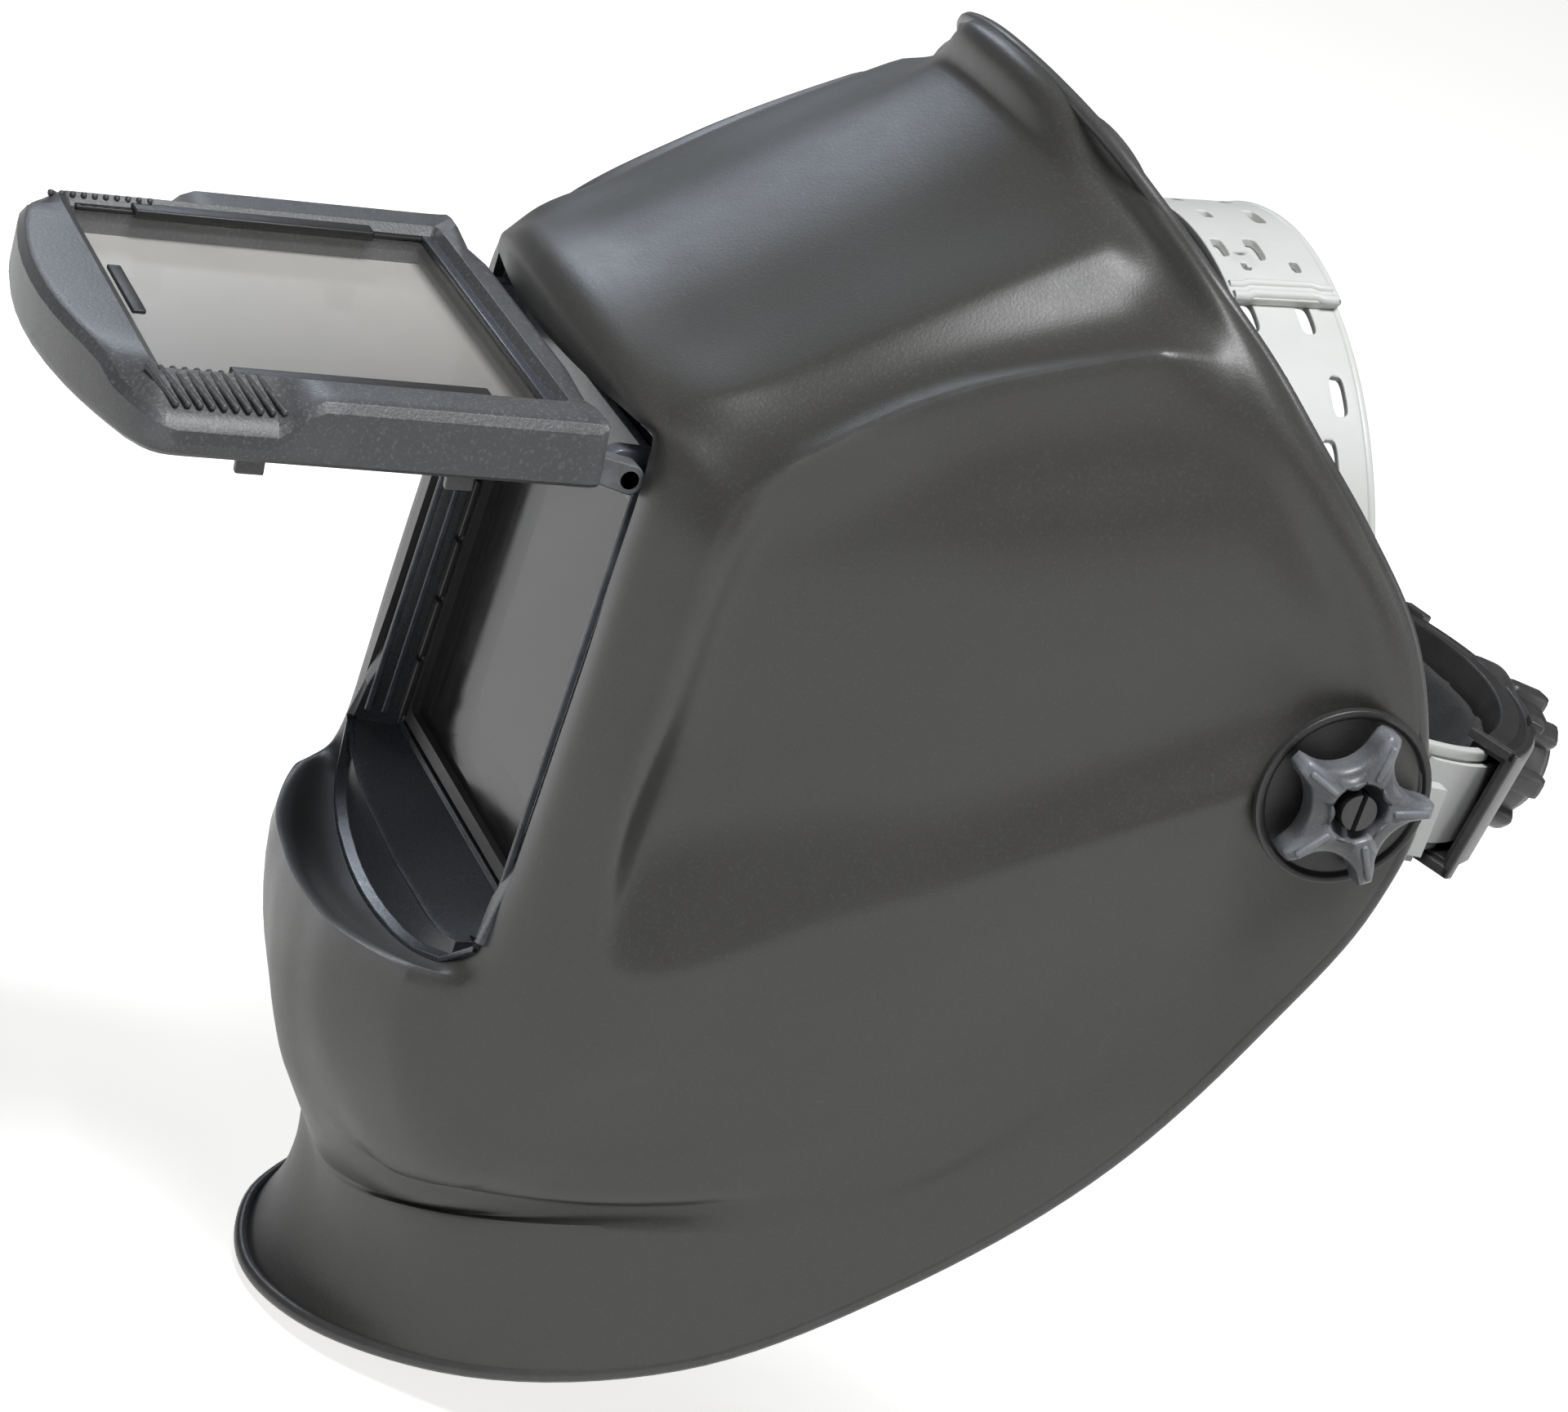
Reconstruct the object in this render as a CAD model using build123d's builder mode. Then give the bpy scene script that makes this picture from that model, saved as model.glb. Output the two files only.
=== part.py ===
"""Flip-front welding helmet with ratchet headgear.

Origin: middle of the tilt axis.  +X wearer's left, -Y forward, +Z up.
"""
import math
import os

from build123d import *

os.makedirs("parts", exist_ok=True)

# ------------------------------------------------------------ driving sizes
WALL = 2.5                 # shell wall
RUN = 0.05                 # radial running clearance
GAP = 0.3                  # clearance round soft parts and loose parts

PIVOT_BOSS_R = 20.0        # flat round each tilt pivot
PIVOT_FACE_X = 117.5       # outer face of that flat
STUD_R = 5.0               # sleeve the shell turns on
STUD_TIP_R = 4.0           # threaded tip under the star knob
KNOB_R = 19.0              # star knob lobes
KNOB_IN_X = 119.7
KNOB_OUT_X = 127.4

HINGE_Y = -150.0           # flip-front hinge axis
HINGE_Z = 16.0
FLIP_SLOPE = 7.5           # droop of the open frame, degrees
FLIP_HALF_W = 66.0
FLIP_T = 14.3
FLIP_NEAR = 8.0            # hinge-side end of the frame, from the hinge axis
FLIP_FAR = 103.0           # free end at the corners
EAR_R = 4.5                # fixed hinge ears
PIN_R = 2.0                # hinge pins
FLIP_BOW = 12.0            # extra reach in the middle of the free end
LENS_HALF_W = 52.0

BAND_TILT = 9.6            # headband falls to the rear, degrees
BAND_Z = -6.0              # headband mid height on the tilt axis
BAND_C = 20.5              # centre of the rear arc, forward to back
BAND_R = 75.5              # outside radius of the rear arc
BAND_T = 2.5
BAND_FRONT = 112.5         # forward half length of the band oval
BAND_HALF_H = 13.0

CROWN_R = 75.6
CROWN_T = 2.0
CROWN_HALF_W = 13.0
CROWN_TILT = 10.0

# -------------------------------------------------- shell outline stations
# Each station runs from the window opening back to the rim, on the left side:
# opening edge, front edge, ridge, ridge end, panel front, panel middle,
# panel rear, flange wall, flange crest, rim edge.
SHELL_STATIONS = [
    [(0, -157.5, 27.6), (0, -158, 34), (0, -154.5, 39.5), (0, -144, 45), (0, -131, 54),
     (0, -107, 73), (0, -77, 100.5), (0, -77.5, 107), (0, -76, 110.5), (0, -72.5, 112.5)],
    [(20, -156.6, 27.6), (20, -157, 33.5), (20.5, -153.8, 38.5), (21, -143.5, 44), (21, -130.5, 53),
     (22, -106.5, 72), (25, -75.5, 99), (26, -75, 105.5), (25, -73.5, 109), (23, -70.3, 110.8)],
    [(40, -154, 27.6), (41, -154, 32), (42, -150.8, 36), (43, -142, 40.5), (43, -129, 49.5),
     (44, -105, 68.5), (46.3, -70.7, 93.9), (44.7, -66.5, 98.4), (43.7, -65, 101.9), (45, -65.3, 106.3)],
    [(55, -151, 27.5), (56.5, -150.5, 29.5), (59, -148, 31), (61.5, -141, 34.5), (63, -128, 43),
     (64.5, -104, 61.5), (63.9, -67, 87.7), (65.4, -59.3, 92.6), (64.9, -57.3, 95.6), (63, -56, 97.7)],
    [(59.5, -148.6, 26.5), (63, -148, 27.5), (66.5, -144.5, 28.5), (70, -138, 30.5), (74.2, -127.6, 39),
     (76, -103.5, 57.5), (80, -63, 79.5), (82, -55, 86.5), (82.5, -51, 88.8), (81, -48.5, 89.5)],
    [(60.5, -148, 21), (66, -147.5, 22.5), (74, -141.5, 23.3), (79, -134, 24), (82.7, -126.8, 33.6),
     (84.8, -102.7, 53.4), (94, -62, 76.5), (96, -51, 80.5), (95.5, -43.5, 80.5), (93, -37, 79)],
    [(60.5, -147.5, 12), (67, -147.3, 13), (76, -142.3, 13.5), (82.5, -135.8, 14.5), (84, -128, 21),
     (91.5, -94, 45), (102, -52, 65), (104.5, -43, 68.5), (104.7, -35, 69), (103.5, -27, 68)],
    [(60.5, -147.5, 0), (67, -147.3, 0.5), (76, -142.5, 1), (83, -136, 2), (84.5, -129.5, 4),
     (96, -86, 30), (108, -39, 50), (110.5, -30, 53.5), (111.3, -22, 54.5), (111.3, -13, 54)],
    [(60.5, -147, -22), (67, -147, -22), (76, -142.5, -22), (83, -136, -21.5), (84.2, -130, -21),
     (99, -78, 6), (112, -24, 34), (114.5, -13, 36.5), (115.5, -6, 37), (116, 3, 36)],
    [(60.5, -147, -44), (67, -147, -45), (76, -143, -47), (82.3, -136.5, -50), (83, -130.5, -52),
     (98, -80, -26), (114, -16, 15), (116, -3, 18), (117, 4, 19), (117.8, 12.5, 18)],
    [(60.5, -147, -60), (67, -147, -62), (75, -143, -66), (80.5, -136, -74), (81, -128, -84),
     (93.5, -90, -58), (114, -16, -3), (116.3, 1, -3), (117.3, 9, -3), (118.5, 19, -4)],
    [(60.5, -147.3, -78), (66, -147, -80), (72, -144, -87), (76, -137, -101), (76.5, -123, -110),
     (92, -88, -78), (112, -21, -25), (115, -3, -22), (116.7, 7, -22), (118, 17, -23)],
    [(58, -148, -93.5), (60, -148.7, -97), (61.5, -150.5, -101), (64, -145, -119), (67, -135.5, -128),
     (85, -90, -112), (105, -25, -60), (109.5, -8, -54), (112.5, 0, -53), (114.5, 5.5, -56)],
    [(48, -150.5, -101.8), (50, -153.5, -103), (52, -160.5, -102), (52, -155, -128), (54, -141.5, -149),
     (74, -106, -142), (97, -42, -105), (102.5, -30, -95), (106, -21, -93.5), (108, -13.5, -97)],
    [(37, -152.5, -105.5), (38, -157.5, -106.5), (40, -166.5, -103.7), (40, -161, -130), (44, -146, -155),
     (64, -119, -153.5), (86, -71, -133), (90, -60, -132), (93, -52, -137), (95, -44, -140)],
    [(26, -153.8, -107.5), (26.5, -160, -108.5), (27, -170.5, -105.5), (28, -165.8, -130), (31, -154, -152),
     (42, -141, -163), (70, -108, -151.5), (72, -98, -162), (75, -88, -171), (78, -79, -176)],
    [(14, -154.6, -108.6), (14, -161.5, -109.8), (14, -171.5, -107), (14, -168, -130), (16, -158.5, -152),
     (24, -145.5, -169), (42, -138, -165.5), (46, -130, -180), (50, -124, -190), (53, -121.6, -198)],
    [(7, -154.9, -108.9), (7, -162, -110.3), (7, -171.9, -107.4), (7, -168.8, -130), (8, -160.3, -152),
     (12, -147.8, -170.5), (22, -144.5, -172.5), (24, -142, -186), (26, -143, -197), (27, -147, -204.5)],
    [(0, -155, -109), (0, -162, -110.5), (0, -172, -107.5), (0, -169, -130), (0, -161, -152),
     (0, -148.5, -171), (0, -145.5, -176), (0, -145.5, -188), (0, -149, -199), (0, -153.5, -207)],
]

# ------------------------------------------------------------ shared frames
tilt = math.radians(BAND_TILT)
band_plane = Plane(origin=(0, 0, BAND_Z), x_dir=(1, 0, 0), z_dir=(0, math.sin(tilt), math.cos(tilt)))
lean = math.radians(CROWN_TILT)
crown_plane = Plane(origin=(0, 6, 8), x_dir=(1, 0, 0), z_dir=(0, -math.cos(lean), -math.sin(lean)))
slope = math.radians(FLIP_SLOPE)
# local x runs along +X, local y out along the open frame, local z down through it
flip_plane = Plane(origin=(0, HINGE_Y, HINGE_Z), x_dir=(1, 0, 0), z_dir=(0, math.sin(slope), -math.cos(slope)))


def save(part, name):
    """Label a finished part and write it out."""
    part.label = name
    export_step(part, f"parts/{name}.step")


# ------------------------------------------------------------- helmet shell
def station(index):
    """Points of one station; one past either end gives the mirrored side."""
    last = len(SHELL_STATIONS) - 1
    if index < 0:
        return [Vector(-x, y, z) for x, y, z in SHELL_STATIONS[1]]
    if index > last:
        return [Vector(-x, y, z) for x, y, z in SHELL_STATIONS[last - 1]]
    return [Vector(x, y, z) for x, y, z in SHELL_STATIONS[index]]


def inner_points(index):
    """Points one wall thickness inside a station."""
    before, here, after = station(index - 1), station(index), station(index + 1)
    points = []
    for row, point in enumerate(here):
        along = here[min(row + 1, len(here) - 1)] - here[max(row - 1, 0)]
        across = after[row] - before[row]
        points.append(point + along.cross(across).normalized() * WALL)
    return points


def station_wire(index):
    """Closed wall section at one station."""
    outer = station(index)
    inner = inner_points(index)
    edges = [
        Edge.make_spline(outer),
        Edge.make_line(outer[-1], inner[-1]),
        Edge.make_spline(inner[::-1]),
        Edge.make_line(inner[0], outer[0]),
    ]
    return Wire(edges)


half_shell = Solid.make_loft([station_wire(i) for i in range(len(SHELL_STATIONS))], ruled=True)

with BuildPart() as shell:
    add(half_shell)
    with BuildSketch(Plane.YZ.offset(PIVOT_FACE_X - 4.5)):
        Circle(PIVOT_BOSS_R + 0.5)
    extrude(amount=4.5)
    with BuildSketch(Plane.YZ.offset(PIVOT_FACE_X)):
        Circle(PIVOT_BOSS_R + 0.5)
    extrude(amount=10, mode=Mode.SUBTRACT)
    with BuildSketch(Plane.YZ.offset(100)):
        Circle(16)
    extrude(amount=PIVOT_FACE_X - 104.5, mode=Mode.SUBTRACT)
    with BuildSketch(Plane.YZ.offset(100)):
        Circle(STUD_R + RUN)
    extrude(amount=30, mode=Mode.SUBTRACT)
    mirror(about=Plane.YZ)

save(shell.part, "helmet_shell")


# ------------------------------------------------------------ window insert
def window_outline(inset):
    """Closed outline of the window opening, X across and Z up, moved inward."""
    side = 60.2 - inset
    top = 27.2 - inset
    drop = [(-57.4 + inset, -92.6 + inset), (-47.6 + inset, -101 + inset), (-36.5, -104.9 + inset)]
    drop += [(-25.8, -106.8 + inset), (0, -108.3 + inset), (25.8, -106.8 + inset), (36.5, -104.9 + inset)]
    drop += [(47.6 - inset, -101 + inset), (57.4 - inset, -92.6 + inset)]
    return [(-side, top), (-side, -76)] + drop + [(side, -76), (side, top)]


with BuildPart() as window_frame:
    with BuildSketch(Plane.XZ.offset(149.3)):
        with BuildLine():
            Polyline(*window_outline(0), close=True)
        make_face()
    extrude(amount=-25.3)
    with BuildSketch(Plane.XZ.offset(150)):
        with Locations((0, -32)):
            Rectangle(110, 118)
    extrude(amount=-12, mode=Mode.SUBTRACT)
    with BuildSketch(Plane.XZ.offset(138)):
        with Locations((0, -36)):
            Rectangle(107, 104)
    extrude(amount=-5, mode=Mode.SUBTRACT)
    with BuildSketch(Plane.XZ.offset(133)):
        with Locations((0, -36)):
            RectangleRounded(94, 92, 5)
    extrude(amount=-9, mode=Mode.SUBTRACT)
    with BuildSketch(Plane.YZ.offset(53.7)):
        with Locations((HINGE_Y, 14)):
            Rectangle(10, 28)
    extrude(amount=8, mode=Mode.SUBTRACT)
    with BuildSketch(Plane.YZ.offset(-53.7)):
        with Locations((HINGE_Y, 14)):
            Rectangle(10, 28)
    extrude(amount=-8, mode=Mode.SUBTRACT)
    with BuildSketch(Plane.YZ.offset(49)):
        with Locations((HINGE_Y, HINGE_Z)):
            Circle(EAR_R)
        with Locations((HINGE_Y + 6, HINGE_Z)):
            Rectangle(12, 2 * EAR_R)
    extrude(amount=4.6)
    with BuildSketch(Plane.YZ.offset(-49)):
        with Locations((HINGE_Y, HINGE_Z)):
            Circle(EAR_R)
        with Locations((HINGE_Y + 6, HINGE_Z)):
            Rectangle(12, 2 * EAR_R)
    extrude(amount=-4.6)
    for side in (-1, 1):
        with BuildSketch(Plane.XY.offset(HINGE_Z - EAR_R)):
            with Locations((side * 52.5, HINGE_Y + 8.5)):
                Rectangle(7, 7)
        extrude(amount=2 * EAR_R)
    with BuildSketch(Plane.YZ):
        with Locations((HINGE_Y, HINGE_Z)):
            Circle(PIN_R + RUN)
    extrude(amount=70, both=True, mode=Mode.SUBTRACT)
save(window_frame.part, "window_frame")

with BuildPart() as clear_plate:
    with BuildSketch(Plane.XZ.offset(136)):
        with Locations((0, -36)):
            RectangleRounded(106.4, 103.4, 1.5)
    extrude(amount=-2)
save(clear_plate.part, "clear_window_plate")

with BuildPart() as plate_seal:
    with BuildSketch(Plane.XZ.offset(134)):
        with Locations((0, -36)):
            RectangleRounded(106.4, 103.4, 1.5)
            RectangleRounded(97, 95, 3, mode=Mode.SUBTRACT)
    extrude(amount=-1)
save(plate_seal.part, "plate_seal")

with BuildPart() as window_retainer:
    with BuildSketch(Plane.XZ.offset(138)):
        with Locations((0, -36)):
            RectangleRounded(106.4, 103.4, 1.5)
            RectangleRounded(100, 97, 2, mode=Mode.SUBTRACT)
    extrude(amount=-2)
save(window_retainer.part, "window_retainer")

# --------------------------------------------------------------- flip front
def arm_plane(x):
    """Side view frame at x: local x out along the open frame, local y down."""
    return Plane(
        origin=(x, HINGE_Y, HINGE_Z),
        x_dir=(0, -math.cos(slope), -math.sin(slope)),
        z_dir=(1, 0, 0),
    )


with BuildPart() as flip_frame:
    with BuildSketch(flip_plane):
        with BuildLine():
            Polyline((-64, FLIP_FAR), (-FLIP_HALF_W, 100), (-FLIP_HALF_W, FLIP_NEAR),
                     (FLIP_HALF_W, FLIP_NEAR), (FLIP_HALF_W, 100), (64, FLIP_FAR))
            ThreePointArc((64, FLIP_FAR), (0, FLIP_FAR + FLIP_BOW), (-64, FLIP_FAR))
        make_face()
    extrude(amount=-FLIP_T)
    with BuildSketch(flip_plane):
        with Locations((0, 57)):
            RectangleRounded(2 * LENS_HALF_W, 82, 3)
    extrude(amount=-FLIP_T, mode=Mode.SUBTRACT)
    with BuildSketch(flip_plane):
        with Locations((0, 57)):
            RectangleRounded(112, 88, 1)
    extrude(amount=-11.5, mode=Mode.SUBTRACT)
    with BuildSketch(flip_plane):
        with Locations((53.4, 78), (53.4, 34), (-53.4, 78), (-53.4, 34)):
            Rectangle(2.4, 6)
    extrude(amount=7)
    for x in (54, -59.5):
        with BuildSketch(arm_plane(x)):
            Circle(3.4)
            with BuildLine():
                Polyline((0, -3.4), (11, -6), (11, 0), (0, 3.4), close=True)
            make_face()
        extrude(amount=5.5)
    with BuildSketch(Plane.YZ):
        with Locations((HINGE_Y, HINGE_Z)):
            Circle(PIN_R)
    extrude(amount=70, both=True, mode=Mode.SUBTRACT)
save(flip_frame.part, "flip_frame")

with BuildPart() as hinge_pins:
    for x in (48.8, -59.4):
        with BuildSketch(Plane.YZ.offset(x)):
            with Locations((HINGE_Y, HINGE_Z)):
                Circle(PIN_R)
        extrude(amount=10.6)
save(hinge_pins.part, "hinge_pins")


def lens_layer(start, thick, opening=None):
    """One flat layer of the lens stack; a ring when an opening is given."""
    with BuildPart() as layer:
        with BuildSketch(flip_plane.offset(-start)):
            with Locations((0, 57)):
                RectangleRounded(111.4, 87.4, 0.8)
                if opening:
                    RectangleRounded(opening[0], opening[1], 2, mode=Mode.SUBTRACT)
        extrude(amount=-thick)
    return layer.part


save(lens_layer(0.6, 2.4, (102, 80)), "lens_retainer")
save(lens_layer(3.1, 3.0), "filter_plate")
save(lens_layer(6.2, 2.6, (104, 82)), "lens_gasket")
save(lens_layer(8.9, 2.4), "cover_plate")


# ------------------------------------------------------------ tilt pivots
def star_outline():
    """Points of the five-lobed knob outline, Y across and Z up."""
    points = []
    for lobe in range(5):
        middle = math.radians(90 + 72 * lobe)
        for radius, offset in ((KNOB_R - 1.2, -11), (KNOB_R, 0), (KNOB_R - 1.2, 11), (KNOB_R - 8, 36)):
            angle = middle + math.radians(offset)
            points.append((radius * math.cos(angle), radius * math.sin(angle)))
    return points


with BuildPart() as pivot_dish:
    with BuildSketch(Plane.YZ.offset(PIVOT_FACE_X + 0.02)):
        Circle(PIVOT_BOSS_R)
        Circle(STUD_R + 0.4, mode=Mode.SUBTRACT)
    extrude(amount=2)
    with BuildSketch(Plane.YZ.offset(PIVOT_FACE_X + 2.02)):
        Circle(PIVOT_BOSS_R - 1.5)
    extrude(amount=-1, mode=Mode.SUBTRACT)

with BuildPart() as star_knob:
    with BuildSketch(Plane.YZ.offset(KNOB_IN_X)):
        with BuildLine():
            Spline(*star_outline(), periodic=True)
        make_face()
    extrude(amount=KNOB_OUT_X - KNOB_IN_X - 2)
    with BuildSketch(Plane.YZ.offset(KNOB_IN_X - 1)):
        Circle(8)
    extrude(amount=KNOB_OUT_X - KNOB_IN_X + 1)
    with BuildSketch(Plane.YZ.offset(KNOB_IN_X - 1)):
        Circle(STUD_TIP_R + RUN)
    extrude(amount=20, mode=Mode.SUBTRACT)

with BuildPart() as pivot_stud:
    with BuildSketch(Plane.YZ.offset(101.5)):
        RegularPolygon(7.5, 6)
    extrude(amount=2.5)
    with BuildSketch(Plane.YZ.offset(104)):
        Circle(STUD_R)
    extrude(amount=14.6)
    with BuildSketch(Plane.YZ.offset(118.6)):
        Circle(STUD_TIP_R)
    extrude(amount=8.2)
    with BuildSketch(Plane.YZ.offset(123.8)):
        Rectangle(1.2, 8.2)
    extrude(amount=3.2, mode=Mode.SUBTRACT)

with BuildPart() as friction_washer:
    with BuildSketch(Plane.YZ.offset(108.05)):
        Circle(15)
        Circle(STUD_R + 0.1, mode=Mode.SUBTRACT)
    extrude(amount=4.85)

with BuildPart() as pivot_arm:
    with BuildSketch(Plane.YZ.offset(104)):
        Circle(14)
        with Locations((15.5, -6)):
            Rectangle(29.8, 16)
    extrude(amount=4)
    with BuildSketch(Plane.YZ.offset(76.2)):
        with Locations((26.2, -10.4)):
            Rectangle(8.4, 12)
    extrude(amount=29)
    with BuildSketch(Plane.YZ.offset(104)):
        Circle(STUD_R)
    extrude(amount=4, mode=Mode.SUBTRACT)
    with BuildSketch(Plane.YZ.offset(104)):
        with PolarLocations(10, 7, 60, 20):
            Circle(1.2)
    extrude(amount=4, mode=Mode.SUBTRACT)

with BuildPart() as arm_screw:
    with BuildSketch(Plane.YZ.offset(72.4)):
        with Locations((26.2, -10.4)):
            Circle(2.4)
    extrude(amount=3.75)

SIDE_PARTS = [
    (pivot_dish, "pivot_dish"),
    (star_knob, "star_knob"),
    (pivot_stud, "pivot_stud"),
    (friction_washer, "friction_washer"),
    (pivot_arm, "pivot_arm"),
]
for builder, name in SIDE_PARTS:
    save(builder.part, f"{name}_left")
    with BuildPart() as other_side:
        mirror(builder.part, about=Plane.YZ)
    save(other_side.part, f"{name}_right")


# ---------------------------------------------------------------- headband
def band_oval(outer, thick, low, high, rear_edge):
    """Front part of the head oval, kept forward of rear_edge."""
    with BuildPart() as oval:
        with BuildSketch(band_plane.offset(low)):
            with Locations((0, BAND_C)):
                Ellipse(outer, BAND_FRONT - BAND_R + outer)
                Ellipse(outer - thick, BAND_FRONT - BAND_R + outer - thick, mode=Mode.SUBTRACT)
            with Locations((0, rear_edge + 100)):
                Rectangle(300, 200, mode=Mode.SUBTRACT)
        extrude(amount=high - low)
    return oval.part


def rear_arc(inner, outer, low, high, start, end):
    """Curved block round the rear arc between two angles from +X."""
    with BuildPart() as block:
        with BuildSketch(band_plane.offset(low)):
            with BuildLine():
                first = CenterArc((0, BAND_C), outer, start, end - start)
                second = CenterArc((0, BAND_C), inner, start, end - start)
                Line(first @ 0, second @ 0)
                Line(first @ 1, second @ 1)
            make_face()
        extrude(amount=high - low)
    return block.part


with BuildPart() as headband:
    add(band_oval(BAND_R, BAND_T, -BAND_HALF_H, BAND_HALF_H, BAND_C))
    add(rear_arc(BAND_R - BAND_T, BAND_R, -12.2, 12.2, 0, 40))
    add(rear_arc(BAND_R - BAND_T, BAND_R, -12.2, 12.2, 140, 180))
    for side in (-1, 1):
        with BuildSketch(Plane.YZ.offset(side * 70)):
            with Locations((26.2, -10.4)):
                Circle(2.4)
        extrude(amount=side * 10, mode=Mode.SUBTRACT)
save(headband.part, "headband")

with BuildPart() as arm_screws:
    add(arm_screw.part)
    mirror(arm_screw.part, about=Plane.YZ)
save(arm_screws.part, "arm_screws")

save(band_oval(BAND_R - BAND_T - GAP, 5.5, -15, 15, BAND_C - 62), "sweatband")

# -------------------------------------------------------- ratchet adjuster
def rear_plane(reach):
    """Plane square to the ratchet axis, reach out from the rear arc centre."""
    base = Plane(origin=band_plane.from_local_coords((0, BAND_C, 0)), x_dir=(1, 0, 0), z_dir=band_plane.y_dir)
    return base.offset(reach)


with BuildPart() as ratchet_housing:
    add(rear_arc(71.2, 81.2, -15.2, 15.2, 38, 142))
    add(rear_arc(71.2, 81.2, -18, 18, 64, 116))
    with BuildSketch(rear_plane(79)):
        Circle(20)
    extrude(amount=3.2)
    add(rear_arc(72.7, 79.4, -12.7, 12.7, 30, 150), mode=Mode.SUBTRACT)
    with BuildSketch(rear_plane(78)):
        Circle(4 + RUN)
    extrude(amount=8, mode=Mode.SUBTRACT)
save(ratchet_housing.part, "ratchet_housing")

save(rear_arc(66, 70.9, -14, 14, 44, 136), "rear_pad")


def rack(inner, outer, start, end):
    """Toothed tail of the headband with its long slot."""
    with BuildPart() as tail:
        add(rear_arc(inner, outer, -10, 10, start, end))
        add(rear_arc(inner - 1, outer + 1, -5.2, 5.2, 72, 108), mode=Mode.SUBTRACT)
    return tail.part


save(rack(75.7, 77.1, 20, 116), "rack_left")
save(rack(77.4, 78.8, 64, 160), "rack_right")

with BuildPart() as ratchet_pinion:
    with BuildSketch(rear_plane(73.4)):
        Circle(4.1)
        with PolarLocations(4.1, 10):
            Rectangle(1.2, 1.1)
    extrude(amount=5.4)
save(ratchet_pinion.part, "ratchet_pinion")

with BuildPart() as ratchet_knob:
    with BuildSketch(rear_plane(78.8)):
        Circle(4)
    extrude(amount=6)
    with BuildSketch(rear_plane(82.6)):
        Circle(15.5)
        with PolarLocations(15.5, 8):
            Circle(3.2)
    extrude(amount=13)
    with BuildSketch(rear_plane(95.6)):
        Circle(13)
    extrude(amount=4)
save(ratchet_knob.part, "ratchet_knob")


# ------------------------------------------------------------ crown straps
def crown_strap(inner, start, end):
    """One half of the crown strap with its leg down to the headband."""
    with BuildPart() as strap:
        with BuildSketch(crown_plane):
            with BuildLine():
                first = CenterArc((0, 0), inner + CROWN_T, start, end - start)
                second = CenterArc((0, 0), inner, start, end - start)
                Line(first @ 0, second @ 0)
                Line(first @ 1, second @ 1)
            make_face()
            with Locations((inner + CROWN_T / 2, -11)):
                Rectangle(CROWN_T, 22)
        extrude(amount=CROWN_HALF_W, both=True)
    return strap.part


save(crown_strap(CROWN_R, 0, 104), "crown_strap_left")

with BuildPart() as crown_right:
    add(crown_strap(CROWN_R + CROWN_T + 0.1, 0, 115))
with BuildPart() as crown_right_side:
    mirror(crown_right.part, about=Plane.YZ)
save(crown_right_side.part, "crown_strap_right")
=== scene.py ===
"""Looks of the flip-front welding helmet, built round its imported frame."""
import logging
import math
from dataclasses import dataclass, field
from enum import Enum
from typing import Any, Dict, Iterable, List, Optional, Sequence, Tuple, Union

import bmesh
import bpy
from mathutils import Matrix, Vector
from mathutils.bvhtree import BVHTree


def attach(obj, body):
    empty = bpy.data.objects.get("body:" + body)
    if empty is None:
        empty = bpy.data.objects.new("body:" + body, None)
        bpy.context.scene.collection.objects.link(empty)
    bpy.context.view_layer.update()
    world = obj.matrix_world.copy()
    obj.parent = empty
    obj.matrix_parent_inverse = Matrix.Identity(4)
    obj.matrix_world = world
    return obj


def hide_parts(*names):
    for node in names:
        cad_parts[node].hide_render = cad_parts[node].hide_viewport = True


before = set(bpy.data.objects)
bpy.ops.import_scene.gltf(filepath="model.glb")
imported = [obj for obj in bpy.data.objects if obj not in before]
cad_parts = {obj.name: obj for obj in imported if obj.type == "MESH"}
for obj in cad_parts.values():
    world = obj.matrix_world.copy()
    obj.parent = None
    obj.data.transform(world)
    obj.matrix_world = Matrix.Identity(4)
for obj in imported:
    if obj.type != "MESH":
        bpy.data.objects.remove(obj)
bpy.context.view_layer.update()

logging.basicConfig(level=logging.INFO, format="%(message)s")
LOG = logging.getLogger("helmet")

MM = 0.001
Point = Tuple[float, float, float]
Rgb = Tuple[float, float, float]
Number = Union[int, float]


class Body(str, Enum):
    """Moving bodies of the helmet that a piece can ride on."""

    HEADGEAR = "headgear"
    SHELL = "shell"
    FLIP = "flip_front"
    KNOB_LEFT = "knob_left"
    KNOB_RIGHT = "knob_right"
    RATCHET = "ratchet"


class Side(Enum):
    """Wearer's side; the value is the sign of X."""

    LEFT = 1
    RIGHT = -1


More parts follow.
